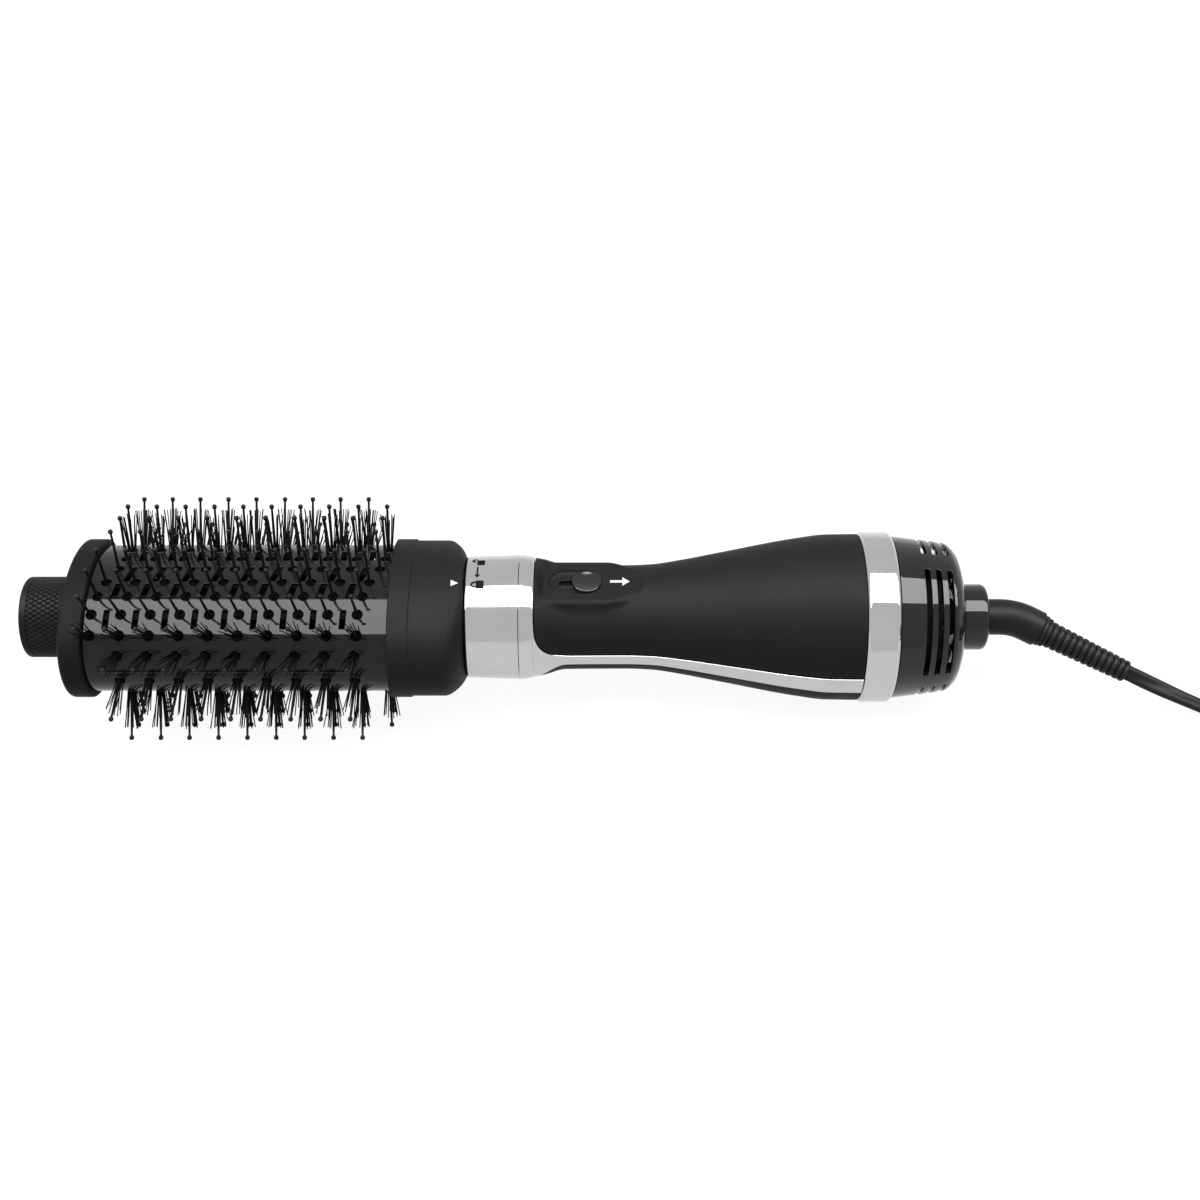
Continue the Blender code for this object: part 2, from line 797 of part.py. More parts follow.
def build_switch(parent, slide):
    button_base = PAD_TOP - RECESS_DEPTH + GAP
    slider = turned(
        "switch_slider",
        [
            (button_base, 0.0),
            (button_base, BUTTON_RADIUS),
            (PAD_TOP + 0.0004, BUTTON_RADIUS),
            (PAD_TOP + 0.0008, BUTTON_RADIUS - 0.0005),
            (PAD_TOP - 0.0003, 0.0),
        ],
        [],
        SOFT_BLACK,
        slide,
        steps=20,
        upright=(BUTTON_X, 0.0, 0.0),
    )
    neck = box(
        "slider_neck",
        (NECK_WIDTH, NECK_WIDTH, 0.0040),
        (BUTTON_X, 0.0, button_base - 0.0016),
        SOFT_BLACK,
        slide,
    )
    boolean(slider, neck, "UNION")
    box("slide_switch", (0.0190, 0.0090, 0.0068), (-0.0090, 0.0, 0.0100), NYLON, parent)
    box("circuit_board", (0.0500, 0.0200, 0.0012), (0.0080, 0.0, 0.0056), BOARD_GREEN, parent)


# ---- motor, fan and inlet -------------------------------------------------------------


def build_motor(parent, fan):
    turned(
        "motor",
        [
            (0.0480, 0.0),
            (0.0480, 0.0125),
            (0.0495, 0.0140),
            (0.0800, 0.0140),
            (0.0800, 0.0050),
            (0.0820, 0.0050),
            (0.0820, 0.0),
        ],
        [],
        STEEL,
        parent,
    )
    turned(
        "motor_shaft",
        [(0.0824, 0.0), (0.0824, 0.0012), (0.0990, 0.0012), (0.0990, 0.0)],
        [],
        STEEL,
        fan,
        steps=8,
    )
    rotor = turned(
        "fan_rotor",
        [(0.0845, 0.0085), (0.0930, 0.0085), (0.0965, 0.0050)],
        [(0.0845, 0.0016), (0.0965, 0.0016)],
        NYLON,
        fan,
        steps=16,
    )
    blades, reach, pitch = 7, 0.0165, math.radians(38.0)
    for i in range(blades):
        turn = Matrix.Rotation(2 * math.pi * i / blades, 4, "X")
        blade = box(
            f"fan_blade_{i}",
            (0.0105, 0.0010, reach),
            (0.0, 0.0, 0.0),
            NYLON,
            fan,
        )
        blade.matrix_local = (
            turn @ Matrix.Translation((0.0890, 0.0, 0.0070 + reach / 2)) @ Matrix.Rotation(pitch, 4, "Z")
        )
        boolean(rotor, blade, "UNION")
    housing = turned(
        "fan_housing",
        [(0.0780, 0.0252), (0.0985, 0.0252)],
        [(0.0780, 0.0242), (0.0985, 0.0242)],
        NYLON,
        parent,
    )
    cradle = turned(
        "motor_cradle",
        [(0.0780, 0.0160), (0.0798, 0.0160)],
        [(0.0780, 0.0144), (0.0798, 0.0144)],
        NYLON,
        parent,
    )
    vanes = 4
    for i in range(vanes):
        turn = Matrix.Rotation(2 * math.pi * (i + 0.5) / vanes, 4, "X")
        vane = box(f"housing_vane_{i}", (0.0017, 0.0012, 0.0094), (0, 0, 0), NYLON, parent)
        vane.matrix_local = turn @ Matrix.Translation((0.0790, 0.0, 0.0199))
        boolean(cradle, vane, "UNION")
    boolean(housing, cradle, "UNION")


def build_rear(parent):
    turned(
        "rear_band",
        [
            (BAND_FRONT, BAND_RADIUS - BAND_CHAMFER),
            (BAND_FRONT + BAND_CHAMFER, BAND_RADIUS),
            (FOOT_X, BAND_RADIUS),
            (BAND_BACK, BAND_RADIUS - BAND_CHAMFER),
        ],
        [(BAND_FRONT, 0.0307), (BAND_BACK, 0.0307)],
        CHROME,
        parent,
    )
    spigot = 0.0279
    cap = turned(
        "rear_cap",
        [(0.1060, spigot), (CAP_OUTSIDE[0][0], spigot), *CAP_OUTSIDE],
        [
            (0.1060, 0.0264),
            (0.1270, 0.0262),
            (0.1320, 0.0228),
            (0.1350, 0.0140),
            (0.1350, 0.0074),
            (CAP_BACK, 0.0074),
        ],
        GLOSS_BLACK,
        parent,
    )
    inlets = bmesh.new()
    for station in INLET_STATIONS:
        for i, rib in enumerate(INLET_RIBS):
            after = INLET_RIBS[(i + 1) % len(INLET_RIBS)] or 360.0
            inlet_slot(inlets, station, math.radians(rib + RIB_HALF), math.radians(after - RIB_HALF))
    cutter = place("inlet_slots", finish_mesh("inlet_slots", inlets), NYLON, parent)
    boolean(cap, cutter, "DIFFERENCE")
    turned(
        "inlet_filter",
        [(0.1110, 0.0232), (0.1255, 0.0232)],
        [(0.1110, 0.0030), (0.1130, 0.0030), (0.1130, 0.0212), (0.1255, 0.0212)],
        FOAM,
        parent,
        steps=16,
    )


def inlet_slot(shape, station, start, end):
    """One curved slot cutter through the cap's wall."""
    half = INLET_WIDTH / 2
    corners = [
        shape.verts.new((station + x, 0.0, radius))
        for x, radius in ((-half, 0.0240), (half, 0.0240), (half, 0.0330), (-half, 0.0330))
    ]
    made = shape.faces.new(corners)
    bmesh.ops.rotate(shape, verts=corners, cent=(0, 0, 0), matrix=Matrix.Rotation(start, 3, "X"))
    bmesh.ops.spin(
        shape,
        geom=[*corners, *made.edges, made],
        axis=(1.0, 0.0, 0.0),
        cent=(0.0, 0.0, 0.0),
        steps=4,
        angle=end - start,
    )


# ---- cord exit ------------------------------------------------------------------------


def bent_point(along):
    """A point on the cord's line past the bend, that far along it from the bend."""
    side = Vector((0.0, -math.sin(CORD_ROLL), math.cos(CORD_ROLL)))
    return Vector((BEND_X, 0.0, 0.0)) + along * (
        math.cos(CORD_BEND) * Vector((1.0, 0.0, 0.0)) + math.sin(CORD_BEND) * side
    )


def build_cord_exit(parent, swivel):
    turned(
        "swivel_boss",
        [
            (CAP_BACK + GAP, 0.0125),
            (BOSS_BACK - 0.0020, 0.0125),
            (BOSS_BACK - 0.0005, 0.0118),
            (BOSS_BACK, 0.0105),
        ],
        [(CAP_BACK + GAP, 0.0074), (BOSS_BACK, 0.0074)],
        GLOSS_BLACK,
        parent,
    )
    straight = [(BEND_X - along, 0.0, 0.0) for along in (0.0045, 0.0010)]
    bend = [*straight, bent_point(0.0010), bent_point(0.0045)]
    elbow = [(0.1310, 0.0, 0.0), *smooth_line(bend, 0.0030), bent_point(RELIEF_START - GAP)]
    tube("swivel_stem", elbow, STEM_RADIUS - 0.0001, NYLON, swivel)
    turned(
        "swivel_clip",
        [(0.1328, 0.0105), (0.1344, 0.0105)],
        [(0.1328, 0.0072), (0.1344, 0.0072)],
        STEEL,
        swivel,
        steps=16,
    )
    relief = turned(
        "strain_relief",
        [
            (0.0, 0.0),
            (0.0, 0.0062),
            (0.0020, 0.0062),
            (0.0026, 0.0051),
            (RELIEF_LENGTH, 0.0043),
            (RELIEF_LENGTH, 0.0),
        ],
        [],
        NYLON,
        swivel,
        steps=12,
    )
    along = bent_point(1.0) - bent_point(0.0)
    turn = along.to_track_quat("Z", "Y").to_matrix().to_4x4()
    relief.matrix_local = Matrix.Translation(bent_point(RELIEF_START)) @ turn


def build_lead(parent):
    """Supply lead inside the grip: from the stem, past filter and fan housing, to the board."""
    route = (
        (0.1304, -0.0030),
        (0.1283, -0.0058),
        (0.1280, -0.0110),
        (0.1284, -0.0180),
        (0.1273, -0.0236),
        (0.1245, -0.0249),
        (0.1135, -0.0249),
        (0.1065, -0.0251),
        (0.0980, -0.0267),
        (0.0790, -0.0267),
        (0.0720, -0.0255),
        (0.0450, -0.0195),
        (0.0370, -0.0120),
        (0.0340, -0.0030),
        (0.0300, 0.0036),
    )
    tube("supply_lead", [(x, 0.0, z) for x, z in route], 0.0009, CORD_BLACK, parent, resolution=1)


# ---- cord -----------------------------------------------------------------------------


def build_cord(exit_point, exit_line):
    start = exit_point + 2 * GAP * exit_line
    run = [start] + [start + Vector(step) for step in CORD_RUN]
    run += [Vector((x, y, CORD_LIFT)) for x, y in CORD_ON_FLOOR]
    tube("cord", smooth_line(run, 0.0080), CORD_WIDTH / 2, CORD_BLACK, None)
    turned(
        "cord_coil",
        [(COIL_BOTTOM, COIL_OUTER), (COIL_TOP, COIL_OUTER)],
        [(COIL_BOTTOM, COIL_INNER), (COIL_TOP, COIL_INNER)],
        CORD_BLACK,
        None,
        upright=(*COIL_CENTRE, 0.0),
    )
    build_tie()
    tail = [Vector((x, y, CORD_LIFT)) for x, y in TAIL_ON_FLOOR]
    tube("cord_tail", smooth_line(tail, 0.0080), CORD_WIDTH / 2, CORD_BLACK, None)
    build_plug()


def build_tie():
    """A strap round the coil's section, at its side away from the brush."""
    inner = (COIL_OUTER - COIL_INNER + 4 * GAP, 0.0060, COIL_TOP - COIL_BOTTOM + 2 * GAP)
    strap = 0.0006
    across = (COIL_OUTER + COIL_INNER) / 2
    centre = (COIL_CENTRE[0] + across, COIL_CENTRE[1], (COIL_TOP + COIL_BOTTOM) / 2)
    band = box(
        "cord_tie",
        (inner[0] + 2 * strap, inner[1], inner[2] + 2 * strap),
        centre,
        CORD_BLACK,
        None,
    )
    hollow = box("tie_hollow", (inner[0], 2 * inner[1], inner[2]), centre, CORD_BLACK, None)
    boolean(band, hollow, "DIFFERENCE")


def build_plug():
    place_plug = Matrix.Translation((*PLUG_AT, 0.0))
    shape = bmesh.new()
    bmesh.ops.create_cone(
        shape, cap_ends=True, segments=8, radius1=0.0040, radius2=0.0135, depth=0.0240
    )
    body = finish_mesh("plug_body", shape)
    height = 0.0085
    squash = Matrix.Diagonal((1.0, 1.0, height / 0.0135, 1.0))
    flat_down = Matrix.Rotation(math.radians(22.5), 4, "X")
    body.transform(squash @ flat_down @ Matrix.Rotation(math.pi / 2, 4, "Y"))
    lift = Matrix.Translation((0.0123, 0.0, height))
    plug = place("plug_body", body, GLOSS_BLACK, None, place_plug @ lift)
    face = box("plug_face", (0.0180, 0.0250, 2 * height * 0.92), (0, 0, 0), GLOSS_BLACK, None)
    face.matrix_local = place_plug @ Matrix.Translation((0.0325, 0.0, height))
    boolean(plug, face, "UNION")
    blade_length = 0.0160
    for side, y in (("left", 0.00635), ("right", -0.00635)):
        blade = box(f"plug_blade_{side}", (blade_length, 0.0015, 0.0063), (0, 0, 0), STEEL, None)
        blade.matrix_local = place_plug @ Matrix.Translation((0.0415 + GAP + blade_length / 2, y, height))


clear_scene()
PARTS = new_collection("hot_air_brush")
CUTTERS = new_collection("cutters")
brush_axis = empty("brush_axis")
brush_axis.location = (CENTRE_X, 0.0, AXIS_HEIGHT)
brush_axis.rotation_euler = (0.0, TILT, 0.0)
twist_axis = empty("twist_axis", brush_axis)
head_axis = empty("head_axis", twist_axis)
switch_axis = empty("switch_axis", brush_axis)
fan_axis = empty("fan_axis", brush_axis)
swivel_axis = empty("swivel_axis", brush_axis)

build_head(head_axis)
build_coupling(brush_axis, twist_axis)
build_heater(brush_axis)
build_front_shell(brush_axis)
build_rear_shell(brush_axis)
build_trim(brush_axis)
build_switch(brush_axis, switch_axis)
build_motor(brush_axis, fan_axis)
build_rear(brush_axis)
build_cord_exit(brush_axis, swivel_axis)
build_lead(brush_axis)

bpy.context.view_layer.update()
relief_tip = bent_point(RELIEF_START + RELIEF_LENGTH)
cord_line = brush_axis.matrix_world.to_3x3() @ (bent_point(1.0) - bent_point(0.0))
build_cord(brush_axis.matrix_world @ relief_tip, cord_line)
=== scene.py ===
"""Hot air brush on a pale floor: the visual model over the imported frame.

Shapes are drawn in millimetres in the brush's own frame: X along its axis from the knob to
the cord, the switch towards +Z. Angles round the axis are counted from +Z towards -Y.
"""

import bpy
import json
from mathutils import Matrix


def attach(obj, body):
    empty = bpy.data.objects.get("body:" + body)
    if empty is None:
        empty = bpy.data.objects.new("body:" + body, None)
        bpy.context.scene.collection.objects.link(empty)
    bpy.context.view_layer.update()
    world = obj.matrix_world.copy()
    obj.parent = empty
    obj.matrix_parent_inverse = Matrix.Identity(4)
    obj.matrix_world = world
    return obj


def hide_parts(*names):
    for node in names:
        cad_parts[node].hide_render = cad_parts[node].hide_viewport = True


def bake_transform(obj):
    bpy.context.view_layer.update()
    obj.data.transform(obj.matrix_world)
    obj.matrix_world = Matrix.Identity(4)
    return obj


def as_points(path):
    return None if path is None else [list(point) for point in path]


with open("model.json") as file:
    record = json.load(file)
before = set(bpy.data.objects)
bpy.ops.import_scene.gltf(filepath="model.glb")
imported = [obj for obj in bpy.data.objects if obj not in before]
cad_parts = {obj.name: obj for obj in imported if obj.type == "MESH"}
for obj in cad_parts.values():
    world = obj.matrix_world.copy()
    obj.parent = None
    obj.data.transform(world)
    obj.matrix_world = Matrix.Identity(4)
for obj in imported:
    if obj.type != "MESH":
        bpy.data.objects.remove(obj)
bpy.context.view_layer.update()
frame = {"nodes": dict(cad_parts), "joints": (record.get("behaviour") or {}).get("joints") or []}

import json
import math
import random

import bmesh
import bpy
from mathutils import Matrix, Vector
from mathutils.bvhtree import BVHTree
from mathutils.geometry import delaunay_2d_cdt

random.seed(11)
TURN = 2 * math.pi
HALF_ROOT = math.sqrt(0.5)

# The brush's frame, from the twist joint, whose axis is the brush's own.
twist = next(j for j in frame["joints"] if j["name"] == "head_twist")
ALONG = Vector(twist["axis"]).normalized()
SIDE = Vector((0.0, 1.0, 0.0))
UP = ALONG.cross(SIDE)
BRUSH = Matrix.Translation(Vector(twist["pos_m"])) @ Matrix((ALONG, SIDE, UP)).transposed().to_4x4()
MM = BRUSH @ Matrix.Scale(0.001, 4)
METRES = Matrix.Scale(0.001, 4)

# ---- camera ----

# The view looks from VIEW at a spot just off the axis, that far away.
VIEW = Vector((0.0, -HALF_ROOT, HALF_ROOT))
LOOK_AT = Vector((0.0, 4.53, 4.53))
AWAY = 646.0
camera_data = bpy.data.cameras.new("camera")
camera_data.lens = 51.0
camera_data.sensor_width = 36.0
camera_data.clip_start = 0.02
camera = bpy.data.objects.new("camera", camera_data)
bpy.context.scene.collection.objects.link(camera)
spot = (LOOK_AT + AWAY * VIEW) * 0.001
turn = Matrix((Vector((1, 0, 0)), Vector((0, HALF_ROOT, HALF_ROOT)), VIEW)).transposed().to_4x4()
camera.matrix_world = BRUSH @ Matrix.Translation(spot) @ turn
bpy.context.scene.camera = camera


# ---- materials ----


def finish(name, colour, roughness, metallic=0.0, specular=0.5, tint=0.12, vary=0.06, grain=2400.0,
           patch=60.0, bump=0.10, depth=0.00003, stretch=(1.0, 1.0, 1.0), edge_lightening=0.0):
    """A Principled material with patchy colour and roughness and a fine grain in relief.

    tint and vary are how far the patches stray in colour and in roughness, and the
    last argument makes the colour lighter on raised edges.
    """
    made = bpy.data.materials.new(name)
    made.use_nodes = True
    nodes, links = made.node_tree.nodes, made.node_tree.links
    shader = nodes["Principled BSDF"]
    shader.inputs["Metallic"].default_value = metallic
    shader.inputs["Specular IOR Level"].default_value = specular
    place = nodes.new("ShaderNodeTexCoord")
    lay = nodes.new("ShaderNodeMapping")
    lay.inputs["Scale"].default_value = stretch
    links.new(place.outputs["Object"], lay.inputs["Vector"])

    def noise(scale, detail):
        node = nodes.new("ShaderNodeTexNoise")
        node.inputs["Scale"].default_value = scale
        node.inputs["Detail"].default_value = detail
        links.new(lay.outputs["Vector"], node.inputs["Vector"])
        return node.outputs["Fac"]

    def level(value, start, end, low, high):
        node = nodes.new("ShaderNodeMapRange")
        for side, at in (("From Min", start), ("From Max", end), ("To Min", low), ("To Max", high)):
            node.inputs[side].default_value = at
        links.new(value, node.inputs["Value"])
        return node.outputs["Result"]

    clouds = noise(patch, 5.0)
    shade = nodes.new("ShaderNodeValToRGB")
    low, high = shade.color_ramp.elements
    low.position, high.position = 0.3, 0.7
    low.color = (*[c * (1 - tint) for c in colour], 1.0)
    high.color = (*[min(1.0, c * (1 + tint)) for c in colour], 1.0)
    links.new(clouds, shade.inputs["Fac"])
    # The colour is made lighter on the most convex edges, read from pointiness.
    if edge_lightening:
        edges = nodes.new("ShaderNodeNewGeometry")
        mix = nodes.new("ShaderNodeMix")
        mix.data_type = "RGBA"
        mix.inputs["B"].default_value = (*[min(1.0, c * 2.4 + 0.01) for c in colour], 1.0)
        links.new(level(edges.outputs["Pointiness"], 0.53, 0.66, 0.0, edge_lightening), mix.inputs["Factor"])
        links.new(shade.outputs["Color"], mix.inputs["A"])
        links.new(mix.outputs["Result"], shader.inputs["Base Color"])
    else:
        links.new(shade.outputs["Color"], shader.inputs["Base Color"])
    gloss = level(clouds, 0.3, 0.7, max(0.02, roughness - vary), min(1.0, roughness + vary))
    links.new(gloss, shader.inputs["Roughness"])
    relief = nodes.new("ShaderNodeBump")
    relief.inputs["Strength"].default_value = bump
    relief.inputs["Distance"].default_value = depth
    links.new(noise(grain, 3.0), relief.inputs["Height"])
    links.new(relief.outputs["Normal"], shader.inputs["Normal"])
    return made


ALONG_X, ROUND_X = (1.0, 6.0, 6.0), (8.0, 1.0, 1.0)
CERAMIC = finish("barrel_coating", (0.0035, 0.0035, 0.0037), 0.045, specular=0.185, tint=0.2, vary=0.02,
                 grain=2600.0, patch=140.0, bump=0.012, depth=0.00002)
SOFT = finish("soft_touch", (0.0032, 0.0032, 0.0034), 0.58, specular=0.08, tint=0.10, vary=0.04,
              grain=5200.0, patch=90.0, bump=0.16, depth=0.00004, edge_lightening=0.12)
SATIN = finish("satin_black", (0.0028, 0.0028, 0.0030), 0.60, specular=0.055, vary=0.05, grain=4200.0,
               patch=110.0, edge_lightening=0.15)
GLOSS = finish("gloss_black", (0.0025, 0.0025, 0.0026), 0.04, specular=0.33, tint=0.2, vary=0.015,
               grain=700.0, patch=120.0, bump=0.015)
BUTTON = finish("button_black", (0.0045, 0.0045, 0.0047), 0.10, specular=0.32, tint=0.2, vary=0.04,
                patch=300.0, bump=0.03)
NYLON = finish("nylon_black", (0.0030, 0.0030, 0.0032), 0.38, specular=0.10, tint=0.2, vary=0.07,
               patch=350.0, bump=0.08)
MATT_NYLON = finish("matt_nylon", (0.0018, 0.0018, 0.0020), 0.75, specular=0.03, tint=0.2, vary=0.07,
                    patch=350.0, bump=0.08)
KNOB_NYLON = finish("knob_nylon", (0.0024, 0.0024, 0.0026), 0.50, specular=0.09, tint=0.15, grain=3200.0,
                    patch=250.0, edge_lightening=0.25)
SLEEVE = finish("sleeve_black", (0.0032, 0.0032, 0.0034), 0.44, specular=0.11, vary=0.05, grain=3600.0,
                patch=200.0)
RUBBER = finish("cord_black", (0.0036, 0.0036, 0.0038), 0.47, specular=0.13, tint=0.16, grain=3000.0,
                patch=160.0, bump=0.12, depth=0.00004)
STRAP = finish("tie_strap", (0.010, 0.010, 0.0105), 0.75, specular=0.25, tint=0.35, vary=0.10,
               grain=2600.0, patch=1500.0, bump=0.5, depth=0.0002)
GUIDE = finish("guide_black", (0.004, 0.004, 0.0042), 0.80, specular=0.04, tint=0.2, vary=0.1,
               grain=1500.0, patch=300.0, depth=0.00004, stretch=ALONG_X)
FOAM = finish("filter_foam", (0.006, 0.006, 0.0062), 0.92, specular=0.05, tint=0.45, grain=1300.0,
              patch=900.0, bump=0.9, depth=0.0006)
PRINT = finish("print_white", (0.26, 0.26, 0.26), 0.6, specular=0.10, tint=0.03, grain=5200.0,
               patch=200.0, bump=0.08)
INK = finish("print_dark", (0.0012, 0.0012, 0.0013), 0.6, specular=0.05, tint=0.15, grain=5200.0,
             patch=200.0, bump=0.08)
CHROME = finish("chrome", (0.455, 0.455, 0.46), 0.06, metallic=1.0, tint=0.03, vary=0.018, grain=500.0,
                patch=90.0, bump=0.002, depth=0.00004)
STEEL = finish("steel", (0.46, 0.46, 0.47), 0.30, metallic=1.0, tint=0.10, vary=0.08, grain=1500.0,
               patch=300.0, depth=0.00004, stretch=ALONG_X)
MOTOR = finish("motor_can", (0.36, 0.36, 0.35), 0.34, metallic=1.0, vary=0.08, grain=1200.0,
               patch=240.0, depth=0.00004, stretch=ROUND_X)
WIRE = finish("heater_wire", (0.30, 0.27, 0.25), 0.42, metallic=1.0, tint=0.25, vary=0.12, grain=2000.0,
              patch=500.0, bump=0.15, depth=0.00004)
BLADE = finish("plug_blade", (0.62, 0.58, 0.50), 0.20, metallic=1.0, tint=0.06, grain=900.0, patch=200.0,
               bump=0.06, stretch=(1.0, 5.0, 5.0), edge_lightening=0.3)
MICA = finish("mica", (0.50, 0.42, 0.30), 0.55, tint=0.22, vary=0.12, grain=1800.0, patch=420.0,
              bump=0.25, depth=0.00008)
BOARD = finish("board_green", (0.018, 0.10, 0.035), 0.42, tint=0.25, vary=0.10, grain=1600.0,
               patch=500.0, bump=0.12, depth=0.00006)
FLOOR = finish("floor", (0.05, 0.05, 0.05), 0.85, specular=0.05, tint=0.01, vary=0.03, grain=200.0,
               patch=3.0, bump=0.02, depth=0.0002)


# ---- mesh helpers ----


def polar(x, angle, radius):
    return Vector((x, -radius * math.sin(angle), radius * math.cos(angle)))


def rings(shape, rows, around=True, along=False, side=0):
    """Faces between rows of equal count; around closes each row, along the last to the first."""
    made = [[shape.verts.new(point) for point in row] for row in rows]
    count = len(made[0])
    pairs = list(zip(made, made[1:])) + ([(made[-1], made[0])] if along else [])
    for row, after in pairs:
        for i in range(count if around else count - 1):
            j = (i + 1) % count
            shape.faces.new((row[i], row[j], after[j], after[i])).material_index = side
    return made


def column(shape, rows, side=0):
    """Faces between closed rows, and over both ends."""
    made = rings(shape, rows, side=side)
    for end in (made[0], made[-1][::-1]):
        shape.faces.new(end).material_index = side
    return made


def plate(outline, heights):
    """A shape of its own, drawn up from a flat outline between two heights."""
    shape = bmesh.new()
    column(shape, [[Vector((*p, z)) for p in outline] for z in heights])
    return outward(shape)


FLAT = Vector((1.0, 0.0)), Vector((0.0, 1.0))


def circle(centre, radius, across, up, sides):
    """Points on a circle in the plane of two directions."""
    turns = [TURN * k / sides for k in range(sides)]
    return [centre + radius * (math.cos(t) * across + math.sin(t) * up) for t in turns]


def weld(shape, distance=1e-4):
    bmesh.ops.remove_doubles(shape, verts=shape.verts, dist=distance)
    bmesh.ops.dissolve_degenerate(shape, edges=shape.edges, dist=distance / 10)


def fillet(points, radii, parts=4, brace=0.12):
    """Round the corners of an open outline, with a support point each side of every arc."""
    points = [Vector(p) for p in points]
    if not isinstance(radii, (list, tuple)):
        radii = [0.0] + [radii] * (len(points) - 2) + [0.0]
    made = [points[0]]
    for before, here, after, radius in zip(points, points[1:], points[2:], radii[1:]):
        a, b = before - here, after - here
        reach = min(radius, 0.45 * a.length, 0.45 * b.length)
        if reach < 0.01:
            made.append(here)
            continue
        u, v = a.normalized(), b.normalized()
        made.append(here + (reach + min(brace, 0.04 * a.length + 0.01)) * u)
        for k in range(parts + 1):
            t = k / parts
            made.append(here + reach * ((1 - t) ** 2 * u + t**2 * v))
        made.append(here + (reach + min(brace, 0.04 * b.length + 0.01)) * v)
    return [*made, points[-1]]


def rounded(corners, radius, parts=3):
    """A closed outline with its corners rounded."""
    made = []
    for i, here in enumerate(corners):
        here = Vector(here)
        a = Vector(corners[i - 1]) - here
        b = Vector(corners[(i + 1) % len(corners)]) - here
        reach = min(radius, 0.48 * a.length, 0.48 * b.length)
        a, b = here + reach * a.normalized(), here + reach * b.normalized()
        for k in range(parts + 1):
            t = k / parts
            made.append((1 - t) ** 2 * a + 2 * t * (1 - t) * here + t * t * b)
    return made


def bar(start, end, half, radius, parts=3, middle=0.0):
    """A rounded oblong outline from start to end, that half width on either side of the middle."""
    low, high = middle - half, middle + half
    return rounded([(start, low), (end, low), (end, high), (start, high)], radius, parts)


def lathe(shape, outline, steps=96, closed=False, side=0):
    """Turn an outline of (station, radius) round X."""
    rows = []
    for x, r in outline:
        rows.append([polar(x, -TURN * i / steps, max(r, 1e-5)) for i in range(steps)])
    return rings(shape, rows, along=closed, side=side)


def smooth_line(knots, spacing=None, parts=4):
    """A Catmull-Rom curve through the knots, with points at that spacing or so many to a span."""
    knots = [Vector(p) for p in knots]
    knots = [2 * knots[0] - knots[1], *knots, 2 * knots[-1] - knots[-2]]
    line = [knots[1]]
    for a, b, c, d in zip(knots, knots[1:], knots[2:], knots[3:]):
        count = max(1, round((c - b).length / spacing)) if spacing else parts
        for i in range(1, count + 1):
            t = i / count
            line.append(0.5 * (2 * b + (c - a) * t + (2 * a - 5 * b + 4 * c - d) * t**2
                               + (3 * b - a - 3 * c + d) * t**3))
    return line


def through(knots):
    """A monotone smooth curve y(x) through knots sorted by x."""
    xs, ys = [k[0] for k in knots], [k[1] for k in knots]
    slopes = [(b - a) / (q - p) for p, q, a, b in zip(xs, xs[1:], ys, ys[1:])]
    ends = [slopes[0]]
    for s, t in zip(slopes, slopes[1:]):
        ends.append(0.0 if s * t <= 0 else 2 * s * t / (s + t))
    ends.append(slopes[-1])

    def curve(x):
        x = min(max(x, xs[0]), xs[-1])
        i = 0
        while i < len(xs) - 2 and x > xs[i + 1]:
            i += 1
        h = xs[i + 1] - xs[i]
        t = (x - xs[i]) / h
        return ((1 + 2 * t) * (1 - t) ** 2 * ys[i] + t * (1 - t) ** 2 * h * ends[i]
                + t * t * (3 - 2 * t) * ys[i + 1] + t * t * (t - 1) * h * ends[i + 1])

    return curve


def smoothstep(low, high, value):
    t = min(1.0, max(0.0, (value - low) / (high - low)))
    return t * t * (3 - 2 * t)


def stand(name, shape):
    """Put a drawn shape into the scene, and let go of the drawing."""
    mesh = bpy.data.meshes.new(name)
    shape.to_mesh(mesh)
    shape.free()
    made = bpy.data.objects.new(name, mesh)
    bpy.context.scene.collection.objects.link(made)
    return made


def piece(name, shape, finishes, body, slot, *nodes, where=MM, sharp=40.0, normals=None):
    """Turn a drawn shape into a piece of the model, which rides on a body if one is given."""
    made = stand(name, shape)
    made.data.transform(where)
    made.data.shade_smooth()
    made.data.set_sharp_from_angle(angle=math.radians(sharp))
    if normals is not None:
        normals(made.data)
    for each in finishes if isinstance(finishes, list) else [finishes]:
        made.data.materials.append(each)
    if body:
        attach(made, body)
    if nodes:
        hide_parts(*nodes)
    return made


def outward(shape):
    bmesh.ops.recalc_face_normals(shape, faces=shape.faces)
    return shape


def print_marks(shape, marks, angle, lift=0.05):
    """Lay flat marks of (station, arc) outlines on a surface, seen from outside at that angle."""
    skin = BVHTree.FromBMesh(shape)
    out = Vector((0.0, -math.sin(angle), math.cos(angle)))
    round_it = Vector((0.0, -math.cos(angle), -math.sin(angle)))
    for outline in marks:
        verts = []
        for a, b in outline:
            start = Vector((a, 0.0, 0.0)) + b * round_it + 60.0 * out
            verts.append(shape.verts.new(skin.ray_cast(start, -out)[0] + lift * out))
        face = shape.faces.new(verts)
        face.material_index = 1
        face.normal_update()
        if face.normal.dot(out) < 0:
            face.normal_flip()


# ---- cord ----

CORD_WIDE, CORD_THICK = 6.0, 3.2
COIL_CENTRE = Vector((297.8, 2.9, 0.0))
COIL_OUT, COIL_IN, COIL_TURNS = 46.6, 22.4, 4
LOW_LAYER, HIGH_LAYER = 1.65, 5.05
TIE_LIFT = 0.75
# The bent sleeve's second leg, and where along it the strain relief starts and ends.
BEND_X = 157.0
BEND_LINE = Vector((0.898794, -0.309976, -0.309976)).normalized()
RELIEF_START, RELIEF_END = 11.0, 47.5


def bent(along):
    return Vector((BEND_X, 0.0, 0.0)) + along * BEND_LINE


